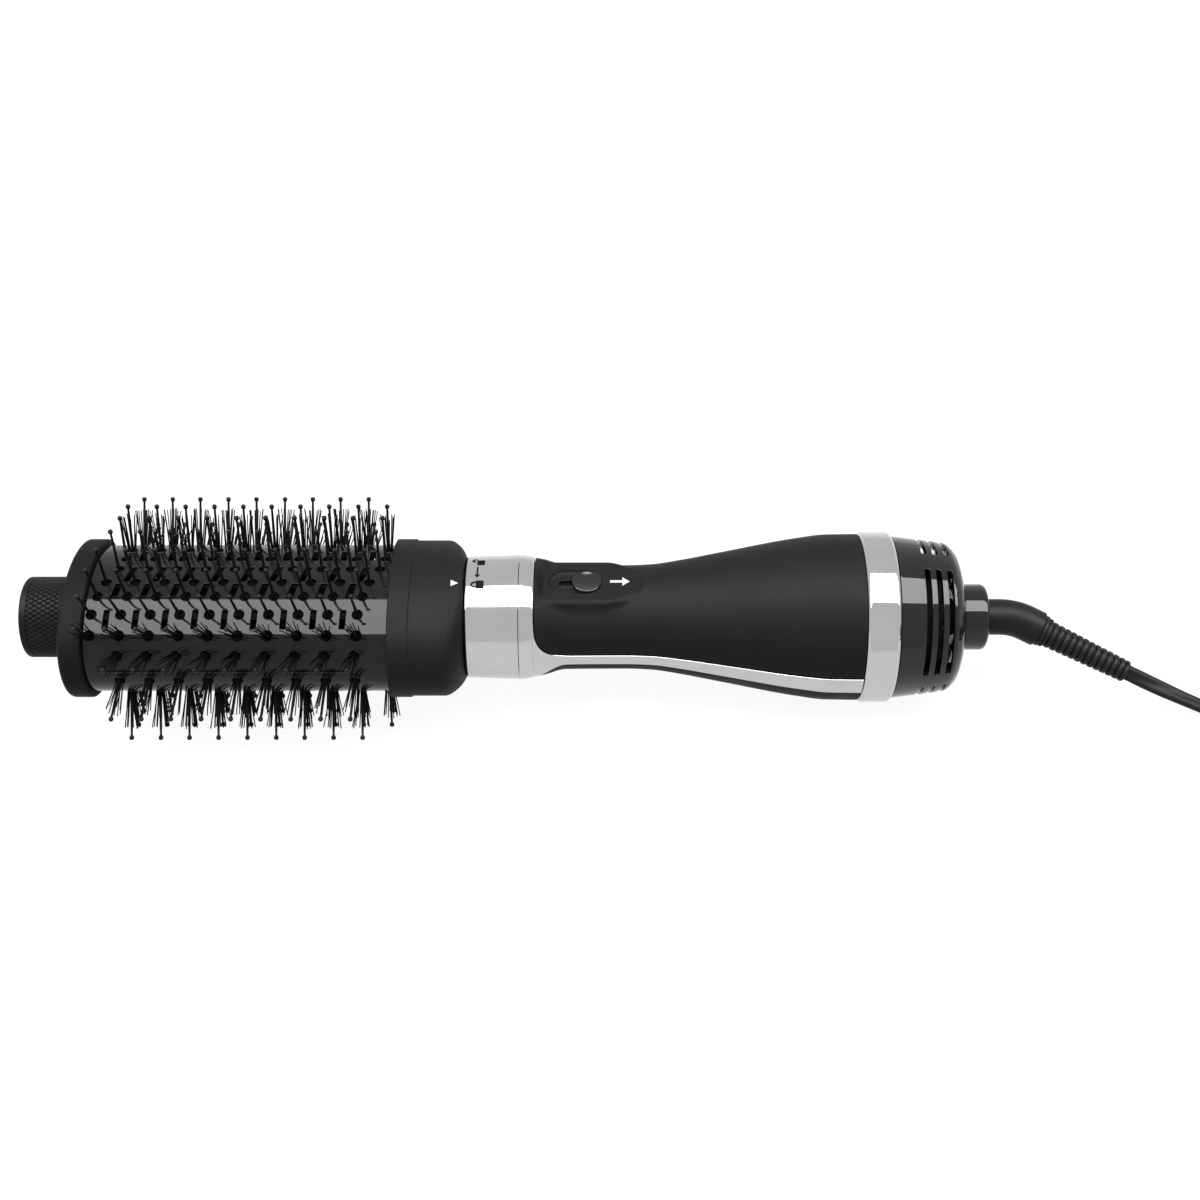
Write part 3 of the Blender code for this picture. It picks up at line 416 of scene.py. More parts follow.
def coil_route():
    """Turns inwards on the surface, then turns outwards on top of them, from the -Y side."""
    route = []
    steps = 40
    rise = math.radians(80.0)
    full = TURN * COIL_TURNS
    for layer in (0, 1):
        for i in range(steps * COIL_TURNS + layer):
            done = TURN * i / steps
            if layer:
                share = max(0.0, (done - rise) / (full - rise))
                radius = COIL_IN + (COIL_OUT - COIL_IN) * share
                height = LOW_LAYER + (HIGH_LAYER - LOW_LAYER) * smoothstep(0.0, rise, done)
            else:
                radius = COIL_OUT + (COIL_IN - COIL_OUT) * done / full
                height = LOW_LAYER
            angle = done % TURN - math.pi / 2
            from_tie = abs(math.atan2(math.sin(angle), math.cos(angle))) * radius
            height += TIE_LIFT * (1.0 - smoothstep(3.5, 13.0, from_tie))
            route.append(COIL_CENTRE + Vector((radius * math.cos(angle), radius * math.sin(angle), height)))
    return route


def cord_route():
    """Every ring centre of the cord, in millimetres of the world, and how many come before the coil."""
    tip = MM @ bent(RELIEF_END) * 1000
    line = BRUSH.to_3x3() @ BEND_LINE
    start = tip + 0.6 * line
    run = [start] + [start + Vector(step) for step in ((10.6, -3.7, -4.1), (21.2, -7.4, -7.7))]
    run += [Vector(p) for p in ((239.5, -26.2, 3.0), (250.0, -30.0, 1.9))]
    run += [Vector((x, y, LOW_LAYER)) for x, y in ((261.6, -34.2), (272.0, -38.2), (284.0, -42.0))]
    coil = coil_route()
    lead = [tip - 3.0 * line] + smooth_line([*run, coil[0]], 4.0)[:-1]
    tail = smooth_line([coil[-1], (310.0, -44.0, 5.0), (322.0, -43.6, 2.4), (330.0, -43.0, 3.6),
                        (337.0, -42.8, 6.6), (344.0, -42.8, 8.5)], 4.0)[1:]
    for point in lead[3:] + tail:
        point.z = max(point.z, LOW_LAYER)
    return lead + coil + tail, len(lead)


def sweep(shape, points, section, ups):
    """Carry a closed section of (across, up) along points, with an up direction at each."""
    rows = []
    for before, point, after, up in zip([points[0], *points], points, [*points[1:], points[-1]], ups):
        ahead = (after - before).normalized()
        across = ahead.cross(up).normalized()
        rows.append([point + a * across + b * across.cross(ahead) for a, b in section])
    return column(shape, rows)


def flat_section():
    """Two cores side by side with a groove between them."""
    core = CORD_THICK / 2
    reach = CORD_WIDE / 2 - core
    turns = [math.radians(-116 + 232 * i / 12) for i in range(13)]
    half = [(reach + core * math.cos(t), core * math.sin(t)) for t in turns]
    return half + [(-a, b) for a, b in reversed(half)]


def build_cord():
    points, first = cord_route()
    line = BRUSH.to_3x3() @ BEND_LINE
    ups = []
    for i in range(len(points)):
        # It leaves the relief on edge and turns to lie flat.
        on_edge = math.radians(62) * (1 - smoothstep(0.0, 0.33, i / first))
        ups.append(Matrix.Rotation(on_edge, 3, line) @ Vector((0.0, 0.0, 1.0)))
    shape = bmesh.new()
    sweep(shape, points, flat_section(), ups)
    made = piece("cord_lead", outward(shape), RUBBER, None, "cord_black", "cord", "cord_coil", "cord_tail",
                 where=METRES, sharp=38.0)
    path = [p * 0.001 for p in points]
    start = points[1]
    to_coil = COIL_CENTRE - start
    to_coil.z = 0.0
    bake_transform(made)
    return made, path


cord_piece, cord_path = build_cord()


# ---- barrel ----

NOSE_RADIUS, NOSE_REACH = 18.2, 13.3
TOP_RADIUS, TOP_DROP, TOP_ANGLE = 43.375, 21.375, 0.5569
TOP_ARC = TOP_RADIUS * TOP_ANGLE
QUARTER = TOP_ARC + NOSE_RADIUS * (math.pi / 2 - TOP_ANGLE)
WALL = 1.2
BARREL_FRONT, BARREL_BACK = -188.3, -74.6
PITCH = 10.8
PIN_TOP = 18.5
HAIRS = 10
# Arc of each bristle row, place of its last pin, number of pins, and whether hairs stand round them.
ROWS = (
    (44.0, -90.0, 9, True),
    (33.0, -89.7, 9, True),
    (25.5, -88.8, 10, True),
    (17.5, -88.7, 10, False),
    (10.0, -87.3, 10, False),
    (3.5, -85.2, 10, False),
    (-3.5, -81.9, 10, False),
    (-10.0, -80.5, 10, False),
    (-17.5, -80.0, 10, True),
    (-28.0, -89.0, 9, True),
)
# Vents: arc and place of the last one at its two ends, and its width there.
VENTS = (
    (15.6, -93.85, 2.5, 23.2, -94.15, 2.5),
    (3.9, -90.9, 2.9, 11.1, -92.5, 2.9),
    (-5.0, -86.7, 2.9, 3.2, -89.0, 2.7),
    (-17.0, -85.8, 2.5, -8.75, -85.3, 2.9),
)
NOSE_SLOTS = ((-181.6, -158.6), (-150.5, -126.0), (-116.0, -92.0))
NOSE_ARC = 39.3


def oval_point(angle, grow=0.0):
    across, up = math.sin(angle), math.cos(angle)
    if abs(up) >= math.cos(TOP_ANGLE) - 1e-9:
        radius = TOP_RADIUS + grow
        return -radius * across, radius * up - math.copysign(TOP_DROP, up)
    radius = NOSE_RADIUS + grow
    return -radius * across - math.copysign(NOSE_REACH, across), radius * up


def wall_angle(arc):
    """The normal's angle at that distance round the wall from the +Z line."""
    half = round(arc / (2 * QUARTER))
    arc -= half * 2 * QUARTER
    away = abs(arc)
    angle = away / TOP_RADIUS if away < TOP_ARC else TOP_ANGLE + (away - TOP_ARC) / NOSE_RADIUS
    return half * math.pi + math.copysign(angle, arc)


def wall_point(x, arc, height):
    y, z = oval_point(wall_angle(arc), height)
    return Vector((x, y, z))


def inside(x, y, outline):
    """Even-odd test of one point against a closed outline."""
    odd = False
    for a, b in zip(outline, outline[1:] + outline[:1]):
        if (a[1] > y) != (b[1] > y) and x < (b[0] - a[0]) * (y - a[1]) / (b[1] - a[1]) + a[0]:
            odd = not odd
    return odd


def pierced(shape, low, high, lines, holes, surface, normal, depth, steps_u=1, ends=True):
    """A wall with holes in it, over a rectangle of (u, v) that closes on itself in v.

    lines are the v of its grid, each hole is (outline, profile of (inset, height)), and
    surface maps (u, v, height) to a point. Outer faces keep the true normal of the surface.
    """
    wall_normal = shape.verts.layers.float_vector.new("wall_normal")
    is_wall = shape.faces.layers.int.new("is_wall")
    verts, edges = [], []
    stations = [low + (high - low) * i / steps_u for i in range(steps_u + 1)]
    for v in lines:
        first = len(verts)
        verts += [Vector((u, v)) for u in stations]
        edges += [(first + i, first + i + 1) for i in range(steps_u)]
    wide = len(stations)
    for i in range(len(lines) - 1):
        for k in range(wide):
            edges.append((i * wide + k, (i + 1) * wide + k))
    owner = {}
    for number, (outline, _) in enumerate(holes):
        first, count = len(verts), len(outline)
        verts += [Vector(p) for p in outline]
        for i in range(count):
            owner[len(edges)] = number
            edges.append((first + i, first + (i + 1) % count))
    flat, flat_edges, faces, _, from_edges, _ = delaunay_2d_cdt(verts, edges, [], 0, 1e-7, True)
    boxes = []
    for outline, _ in holes:
        us, vs = [p[0] for p in outline], [p[1] for p in outline]
        boxes.append((min(us), max(us), min(vs), max(vs), outline))
    kept = []
    for face in faces:
        u = sum(flat[i][0] for i in face) / len(face)
        v = sum(flat[i][1] for i in face) / len(face)
        if not any(u0 < u < u1 and v0 < v < v1 and inside(u, v, outline)
                   for u0, u1, v0, v1, outline in boxes):
            kept.append(face)
    top, floor = {}, {}
    for i in {i for face in kept for i in face}:
        u, v = flat[i]
        top[i] = shape.verts.new(surface(u, v, 0.0))
        top[i][wall_normal] = normal(u, v)
        floor[i] = shape.verts.new(surface(u, v, -depth))
    for face in kept:
        shape.faces.new([top[i] for i in face])[is_wall] = 1
        shape.faces.new([floor[i] for i in reversed(face)])
    links = [{} for _ in holes]
    for (a, b), origin in zip(flat_edges, from_edges):
        for end in (low, high):
            if ends and abs(flat[a][0] - end) < 1e-6 and abs(flat[b][0] - end) < 1e-6:
                shape.faces.new((top[a], top[b], floor[b], floor[a]))
        for number in {owner[o] for o in origin if o in owner}:
            links[number].setdefault(a, []).append(b)
            links[number].setdefault(b, []).append(a)
    for (_, profile), near in zip(holes, links):
        start = next(iter(near))
        loop, before, here = [start], None, start
        while True:
            after = [n for n in near[here] if n != before][0]
            if after == start:
                break
            loop.append(after)
            before, here = here, after
        count = len(loop)
        bound = [Vector(flat[i]) for i in loop]
        area = sum(a[0] * b[1] - b[0] * a[1] for a, b in zip(bound, bound[1:] + bound[:1]))
        rows = [[top[i] for i in loop]]
        for inset, height in profile[1:]:
            row = []
            for before, p, after in zip(bound[-1:] + bound, bound, bound[1:] + bound[:1]):
                run = ((after - p).normalized() + (p - before).normalized()).normalized()
                q = p + math.copysign(inset, area) * Vector((-run[1], run[0]))
                row.append(shape.verts.new(surface(q[0], q[1], height)))
            rows.append(row)
        rows.append([floor[i] for i in loop])
        for row, after in zip(rows, rows[1:]):
            for i in range(count):
                j = (i + 1) % count
                shape.faces.new((row[i], row[j], after[j], after[i]))


def true_normals(mesh):
    """Give the wall's own faces the exact normals of the surface, and leave the rest."""
    turned = BRUSH.to_3x3()
    exact = [turned @ Vector(item.vector) for item in mesh.attributes["wall_normal"].data]
    walls = [item.value for item in mesh.attributes["is_wall"].data]
    custom = [Vector((0.0, 0.0, 0.0))] * len(mesh.loops)
    for polygon in mesh.polygons:
        if walls[polygon.index]:
            for loop in polygon.loop_indices:
                custom[loop] = exact[mesh.loops[loop].vertex_index]
    mesh.normals_split_custom_set(custom)
    mesh.attributes.remove(mesh.attributes["wall_normal"])
    mesh.attributes.remove(mesh.attributes["is_wall"])


def spread(low, high, most):
    """Even steps from low to high, none longer than that."""
    count = max(1, math.ceil((high - low) / most))
    return [low + (high - low) * i / count for i in range(count + 1)]


# A hole's edge, as (inset, height) from the wall's skin inwards.
PIN_HOLE = ((0.0, 0.0), (0.03, 0.07), (0.08, 0.11), (0.14, 0.07), (0.17, -0.06), (0.18, -1.1))
VENT_EDGE = ((0.0, 0.0), (0.05, -0.02), (0.13, -0.08), (0.17, -0.2), (0.18, -1.1))
HOLE_RADIUS = 2.1
SEAM_ARC = 37.0


def in_range(arc):
    """That distance round the wall, in the one turn that starts at the seam."""
    return SEAM_ARC + (arc - SEAM_ARC) % (4 * QUARTER)


def barrel_holes():
    made = []
    for half in (0.0, 2 * QUARTER):
        for arc, last, pins, _ in ROWS:
            for i in range(pins):
                centre = Vector((last - i * PITCH, in_range(arc + half)))
                made.append((circle(centre, HOLE_RADIUS, *FLAT, 26), PIN_HOLE))
        for low, x0, w0, high, x1, w1 in VENTS:
            for i in range(9):
                u0, u1 = x0 - i * PITCH, x1 - i * PITCH
                shift = in_range(low + half) - low
                corners = [(u0 - w0 / 2, low + shift), (u0 + w0 / 2, low + shift),
                           (u1 + w1 / 2, high + shift), (u1 - w1 / 2, high + shift)]
                made.append((rounded(corners, 0.55), VENT_EDGE))
        for front, back in NOSE_SLOTS:
            made.append((bar(front, back, 0.5, 0.48, 4, in_range(NOSE_ARC + half)), VENT_EDGE))
    return made


def build_barrel():
    shape = bmesh.new()
    stops = [SEAM_ARC, 2 * QUARTER - TOP_ARC, 2 * QUARTER + TOP_ARC, 4 * QUARTER - TOP_ARC,
             4 * QUARTER + TOP_ARC, 4 * QUARTER + SEAM_ARC]
    lines = [stops[0]]
    for start, end in zip(stops, stops[1:]):
        lines += spread(start, end, 1.5)[1:]

    def normal(x, arc):
        angle = wall_angle(arc)
        return Vector((0.0, -math.sin(angle), math.cos(angle)))

    pierced(shape, BARREL_FRONT, BARREL_BACK, lines, barrel_holes(), wall_point, normal, WALL, 12)
    weld(shape, 2e-4)
    piece("barrel_shell", outward(shape), CERAMIC, "head", "barrel_coating", "barrel_tube", sharp=38.0,
          normals=true_normals)


def bristle(shape, foot, tip, bow, base, top, sides=5, parts=5):
    """A fine tapered hair from foot to tip, bowed to one side."""
    line = tip - foot
    side = line.orthogonal().normalized()
    other = line.cross(side).normalized()
    rows = []
    for i in range(parts + 1):
        t = i / parts
        rows.append(circle(foot + t * line + bow * (t * t), base + (top - base) * t, side, other, sides))
    made = rings(shape, rows, side=1)
    shape.faces.new(made[-1]).material_index = 1


PIN_OUTLINE = (
    (-1.50, 0.95), (-1.05, 0.90), (-0.75, 0.72), (0.2, 0.60), (4.0, 0.57), (9.0, 0.52), (14.0, 0.46),
    (16.6, 0.42), (16.78, 0.60), (17.0, 0.76), (17.3, 0.89), (17.62, 0.93), (17.95, 0.88), (18.25, 0.70),
    (18.43, 0.42), (18.5, 0.0),
)


def row_place(arc):
    y, z = oval_point(wall_angle(arc))
    return Matrix.Translation((0.0, y, z)) @ Matrix.Rotation(wall_angle(arc), 4, "X")


def build_row(number, arc, last, pins, tufted):
    shape = bmesh.new()
    first = last - (pins - 1) * PITCH
    edge, top, floor = 0.25, -1.50, -2.7
    outline = bar(first - 1.4, last + 1.4, 1.3, 0.6, 4)
    middle = Vector(((first + last) / 2, 0.0))
    rows = []
    for height, inset in ((top, edge), (top - edge, 0.0), (floor + edge, 0.0), (floor, edge)):
        rows.append([Vector((*(p + inset * (middle - p).normalized()), height)) for p in outline])
    column(shape, rows, 1)
    for i in range(pins):
        x = first + i * PITCH
        lean = Vector((random.uniform(-0.12, 0.12), random.uniform(-0.12, 0.12), 0.0))
        rows = []
        for height, radius in PIN_OUTLINE:
            centre = Vector((x, 0.0, height)) + lean * max(0.0, height / PIN_TOP) ** 2
            rows.append(circle(centre, max(radius, 1e-3), Vector((1, 0, 0)), Vector((0, 1, 0)), 12))
        rings(shape, rows)
        for k in range(HAIRS if tufted else 0):
            angle = TURN * (k + random.uniform(-0.3, 0.3)) / HAIRS
            out = Vector((math.cos(angle), math.sin(angle), 0.0))
            foot = Vector((x, 0.0, -1.45)) + random.uniform(0.95, 1.28) * out
            reach = random.uniform(1.9, 3.3)
            tip = Vector((x, 0.0, random.uniform(13.1, 14.2))) + reach * out
            bow = Vector((random.uniform(-0.4, 0.4), random.uniform(-0.4, 0.4), 0.0)) + 0.3 * out
            bristle(shape, foot, tip, bow, 0.25, 0.20)
    weld(shape, 5e-4)
    outward(shape)
    bmesh.ops.transform(shape, verts=shape.verts, matrix=row_place(arc))
    piece(f"bristles_{number:02d}", shape, [NYLON, MATT_NYLON], "head", "nylon_black",
          f"bristle_row_{number:02d}", sharp=50.0)


build_barrel()
for at, (arc, last, pins, tufted) in enumerate(ROWS + ROWS):
    build_row(at + 1, arc + (2 * QUARTER if at >= len(ROWS) else 0.0), last, pins, tufted)


# ---- front cap, knob and collar ----

OVAL_STEPS = 144


def oval_row(x, grow, share=0.0, ring=20.0):
    """One ring of the oval, that share of the way to a circle of that radius."""
    row = []
    for i in range(OVAL_STEPS):
        angle = TURN * i / OVAL_STEPS
        angle -= 0.12 * math.sin(2 * angle)
        y, z = oval_point(angle, grow)
        y += share * (-ring * math.sin(angle) - y)
        z += share * (ring * math.cos(angle) - z)
        row.append(Vector((x, y, z)))
    return row


def oval_skin(knots, parts=4):
    """Rings through knots of (station, grow, share of a circle, circle), smoothly."""
    return [oval_row(*row) for row in smooth_line(knots, parts=parts)]


def oval_rows(places):
    return [oval_row(x, grow) for x, grow in places]


def build_front_cap():
    shape = bmesh.new()
    face = [oval_row(-199.3, 0.0, 1.0, r) for r in (4.0, 8.0, 12.5, 13.8)]
    dome = oval_skin([
        (-199.3, -3.0, 1.0, 14.0), (-199.12, -3.0, 0.5, 14.0), (-198.45, -3.0, 0.03, 14.0),
        (-197.95, -0.9, 0.0, 14.0), (-197.5, 0.5, 0.0, 14.0), (-197.0, 1.4, 0.0, 14.0),
        (-196.4, 2.0, 0.0, 14.0), (-195.6, 2.3, 0.0, 14.0),
    ])
    flank = oval_rows([(-195.0, 2.3), (-189.6, 2.3), (-189.35, 2.28), (-189.1, 2.2), (-188.85, 2.02),
                       (-188.68, 1.77), (-188.6, 1.5), (-188.6, 1.35)])
    bore = oval_rows([(-188.6, -5.5), (-184.1, -5.5), (-184.1, -7.0), (-193.5, -7.0)])
    inner = [oval_row(-193.5, -7.0, 1.0, r) for r in (12.0, 4.0)]
    rings(shape, face + dome + flank + bore + inner, along=True)
    piece("front_cap_shell", outward(shape), SATIN, "head", "soft_touch_black", "front_cap")


def build_knob():
    radius, groove = 15.3, 0.38
    around, pitch, rows = 50, 3.3, 4
    nose, start = -216.2, -200.1 - rows * pitch
    shape = bmesh.new()
    front = fillet([(nose, 0.0), (nose, radius), (start - 0.25, radius), (start, radius - groove)],
                   [0, 4.6, 0.25, 0], 9)
    face = [Vector((nose, r)) for r in (0.0, 5.0, 9.0, 10.4)]
    lathe(shape, face + front[1:], around * 4)
    lathe(shape, [(start + rows * pitch, radius - groove), (-199.85, radius - 0.15), (-199.6, radius - 0.3),
                  (-199.6, 3.6), (-193.7, 3.6), (-193.7, 1.6), (-205.3, 1.6), (-205.3, 0.0)], around * 4)

    def point(u, v, low):
        return polar(start + v * pitch, -u * TURN / around, radius - low)

    def facet(corners):
        corners = [Vector(c) for c in corners]
        middle = sum(corners, Vector((0.0, 0.0))) / len(corners)
        made = rings(shape, [[point(*(middle + share * (c - middle)), low) for c in corners]
                             for share, low in ((1.0, groove), (0.80, 0.07), (0.70, 0.0))])
        shape.faces.new(made[-1])

    for k in range(around):
        for v in range(rows):
            facet([(k - 0.5, v + 0.5), (k, v), (k + 0.5, v + 0.5), (k, v + 1)])
            if v:
                facet([(k, v), (k + 0.5, v - 0.5), (k + 1, v), (k + 0.5, v + 0.5)])
        facet([(k, 0), (k + 1, 0), (k + 0.5, 0.5)])
        facet([(k, rows), (k + 0.5, rows - 0.5), (k + 1, rows)])
    weld(shape, 1e-3)
    piece("knob_shell", outward(shape), KNOB_NYLON, "head", "nylon_black", "tip_knob", sharp=24.0)


COLLAR_KNOTS = (
    (-57.5, 1.8, 0.0, 24.3), (-55.6, 1.62, 0.10, 24.3), (-53.2, 1.2, 0.42, 24.2), (-51.7, 0.75, 0.74, 23.85),
    (-50.95, 0.5, 0.96, 23.4), (-50.6, 0.4, 1.0, 22.9),
)


def build_collar():
    shape = bmesh.new()
    band = oval_rows([(-77.8, 0.35), (-77.8, 1.75), (-77.72, 2.0), (-77.55, 2.2), (-77.3, 2.3), (-77.1, 2.3),
                      (-70.5, 2.3), (-70.3, 2.29), (-70.15, 2.2), (-70.1, 2.05), (-69.95, 1.88),
                      (-69.7, 1.8), (-69.4, 1.8), (-58.5, 1.8)])
    shoulder = oval_skin(COLLAR_KNOTS, 5)
    hole = ((-50.55, 22.5), (-50.55, 17.9), (-50.8, 17.6), (-57.2, 17.6), (-57.2, 16.2), (-60.2, 16.2))
    bore = [oval_row(x, 0.0, 1.0, r) for x, r in hole]
    inner = oval_rows([(-74.3, -3.0), (-74.3, 0.35)])
    rings(shape, band + shoulder + bore + inner, along=True)
    outward(shape)
    # The triangle on the shoulder, in slices that follow its curve.
    start, long, half = -55.0, 2.7, 1.45
    marks = []
    for i in range(3):
        x0, x1 = start + long * i / 3, start + long * (i + 1) / 3
        h0, h1 = half * (3 - i) / 3, max(0.03, half * (2 - i) / 3)
        marks.append([(x0, -h0), (x0, 0.0), (x0, h0), (x1, h1), (x1, 0.0), (x1, -h1)])
    print_marks(shape, marks, math.radians(13.0), 0.07)
    piece("collar_shell", shape, [SOFT, PRINT], "head", "soft_touch_black", "head_collar")


build_front_cap()
build_knob()
build_collar()


# ---- lock ring, trim and grip ----

SKIN = through([(-24.2, 22.5), (-21.0, 21.9), (-12.9, 19.8), (9.5, 19.65), (19.0, 20.0), (30.7, 21.7),
                (45.2, 24.5), (74.5, 30.0), (85.0, 31.3), (96.9, 31.5)])
GRIP_INSIDE = ((-30.0, 18.2), (-22.0, 16.5), (24.0, 17.0), (45.0, 22.0), (80.0, 28.4), (108.0, 28.4))
RING_EDGE, GRIP_END = -24.5, 96.9
STRIP_START, STRIP_END = math.radians(91.6), math.radians(107.4)
FLARE = 13.5
# The switch pad: its top, how far out its leaning sides stand and how they lean, and its round end.
PAD_Z, PAD_OUT, PAD_LEAN, PAD_HALF, PAD_END, PAD_ROUND = 18.8, 20.7, 0.5306, 11.9, 15.5, 12.0
PAD_CORNER, PAD_EDGE = math.radians(31), math.radians(62)
# The angles of the front shell's grid over the pad, in degrees, close together at its corners.
PAD_GRID = (0, 3, 6, 9, 12, 15, 18, 21, 24, 26, 28, 29, 29.6, 30.2, 30.6, 31, 31.4, 31.8, 32.4, 33, 34, 35.5,
            37, 38.5, 40, 41.2, 42.2, 43, 43.6, 44.2, 45, 46, 47.5, 50, 53, 56, 60, 63, 66)
RECESS_DEEP, RECESS_STEEP = 1.4, math.radians(70)
BUTTON_X = -4.9


def cut(shape, *cutters):
    """The shape less the cutters, by exact booleans."""
    body = stand("cut", shape)
    tools = [stand("cut", drawn) for drawn in cutters]
    for tool in tools:
        step = body.modifiers.new("cut", "BOOLEAN")
        step.operation, step.solver, step.object = "DIFFERENCE", "EXACT", tool
    bpy.context.view_layer.update()
    mesh = bpy.data.meshes.new_from_object(body.evaluated_get(bpy.context.evaluated_depsgraph_get()))
    made = bmesh.new()
    made.from_mesh(mesh)
    for thing in [body, *tools]:
        bpy.data.objects.remove(thing, do_unlink=True)
    return made


def post(outline, at, steps=48):
    """Turn an outline of (height, radius) round an upright line at (x, y)."""
    shape = bmesh.new()
    lathe(shape, outline, steps)
    bmesh.ops.rotate(shape, verts=shape.verts, cent=(0, 0, 0), matrix=Matrix.Rotation(-math.pi / 2, 3, "Y"))
    bmesh.ops.translate(shape, verts=shape.verts, vec=(*at, 0.0))
    weld(shape)
    return outward(shape)


def merge(shape, other):
    """Add another drawn shape to this one."""
    mesh = bpy.data.meshes.new("merge")
    other.to_mesh(mesh)
    other.free()
    shape.from_mesh(mesh)
    bpy.data.meshes.remove(mesh)


def turned_ring(outline, radii, steps):
    """A closed outline with rounded corners, turned round the axis."""
    shape = bmesh.new()
    lathe(shape, fillet(outline, radii, 4, 0.3), steps, closed=True)
    weld(shape)
    return outward(shape)


LOCK_ANGLE, UNLOCK_ANGLE, ARROW_TIP_ANGLE = math.radians(13.5), math.radians(-16.5), math.radians(3.6)


def build_lock_ring():
    shape = turned_ring([(-50.2, 16.2), (-50.2, 22.2), (-49.5, 23.0), (-30.25, 23.62), (-30.25, 19.7),
                         (-47.5, 19.7), (-47.5, 16.2)], [0, 0.25, 0.45, 0.14, 0.3, 0, 0], 160)

    def padlock(swing):
        """A closed or swung-open padlock, its shackle towards the barrel."""
        wide, thin, foot = 1.3, 0.62, -45.75
        turn_at = -46.45
        loop = [math.pi * i / 12 for i in range(13)]
        outer, inner = [[(turn_at - r * math.sin(t), swing - r * math.cos(t)) for t in loop]
                        for r in (wide, wide - thin)]
        far = -46.3 if swing else foot
        shackle = [(foot, swing - wide), *outer, (far, swing + wide), (far, swing + wide - thin),
                   *inner[::-1], (foot, swing - wide + thin)]
        return [shackle, bar(-45.8, -42.9, 1.75, 0.35)]

    print_marks(shape, padlock(0.0), LOCK_ANGLE, 0.13)
    print_marks(shape, padlock(-1.6), UNLOCK_ANGLE, 0.13)
    # The arrow between the two, its shaft in short lengths that follow the ring.
    step = 1.8
    half = math.radians(step / 2) * 23.35
    for i in range(6):
        print_marks(shape, [[(-45.75, -half), (-45.15, -half), (-45.15, half), (-45.75, half)]],
                    math.radians(-8.1 + step * i))
    print_marks(shape, [[(-46.6, -0.75), (-44.3, -0.75), (-45.45, 0.85)]], ARROW_TIP_ANGLE)
    piece("lock_ring_shell", shape, [CHROME, INK], "handle", "chrome_plating", "lock_ring", sharp=50.0)


def flare(x):
    """How far round, in mm, the side strip spreads at each edge where it meets the ring."""
    behind = min(FLARE, max(0.0, x - RING_EDGE))
    return FLARE - math.sqrt(FLARE**2 - (FLARE - behind) ** 2)


def build_trim():
    shape = turned_ring([(-30.05, 20.8), (-30.05, 23.62), (-28.6, 23.6), (-25.0, 22.9), (-24.5, 22.4),
                         (-24.5, 20.8)], [0, 0.14, 0.9, 0.5, 0.2, 0], 160)
    curved = [RING_EDGE + 0.02 + FLARE * (i / 16) ** 2 for i in range(17)]
    for side in (1, -1):
        rows = []
        for x in [RING_EDGE - 0.6, *curved, *spread(curved[-1], GRIP_END, 2.5)[1:]]:
            skin = SKIN(max(x, -24.2)) + (0.3 if x > RING_EDGE else -0.1)
            grow = flare(x) / skin
            a, b = STRIP_START - grow, STRIP_END + grow
            edge = [(a + by / skin, low)
                    for by, low in ((0.0, -1.0), (0.0, -0.22), (0.07, -0.07), (0.22, 0.0), (0.32, 0.0))]
            flat = [(a + (b - a) * i / 14, 0.0) for i in range(1, 14)]
            far = [(b - (angle - a), low) for angle, low in reversed(edge)]
            rows.append([polar(x, side * angle, skin + low) for angle, low in edge + flat + far])
        column(shape, rows)
    weld(shape)
    piece("trim_shell", outward(shape), CHROME, "handle", "chrome_plating", "trim_frame", sharp=50.0)


def soft_least(a, b, blur):
    """The smaller of two numbers, blended where they are close."""
    share = min(1.0, max(0.0, 0.5 + 0.5 * (b - a) / blur))
    return b + (a - b) * share - blur * share * (1 - share)


def grip_radius(x, angle):
    """Radius of the front shell: the round grip with a flat-topped pad for the switch."""
    plain = SKIN(x)
    leant = abs(angle)
    if leant > PAD_EDGE:
        return plain
    top = PAD_Z / math.cos(leant)
    side = PAD_OUT / (math.sin(leant) + PAD_LEAN * math.cos(leant))
    facet = soft_least(top, side, 1.5)
    y = min(PAD_HALF, facet * math.sin(leant))
    end = PAD_END - (PAD_ROUND - math.sqrt(PAD_ROUND**2 - y * y))
    share = smoothstep(-24.2, -20.5, x)
    if leant > PAD_CORNER:
        facet = -soft_least(-plain, -facet, 0.45)
    if facet > plain:
        share *= 1.0 - smoothstep(end - 6.0, end + 2.0, x)
    else:
        share *= 1.0 - smoothstep(end - 0.7, end + 0.9, x)
    return plain + (facet - plain) * share


def round_radius(x, angle):
    """Radius of the rear shell, the same all round."""
    return SKIN(x)


def within(x):
    """The grip's inside radius."""
    for (x0, r0), (x1, r1) in zip(GRIP_INSIDE, GRIP_INSIDE[1:]):
        if x <= x1:
            return r0 + (r1 - r0) * max(0.0, x - x0) / (x1 - x0)
    return GRIP_INSIDE[-1][1]


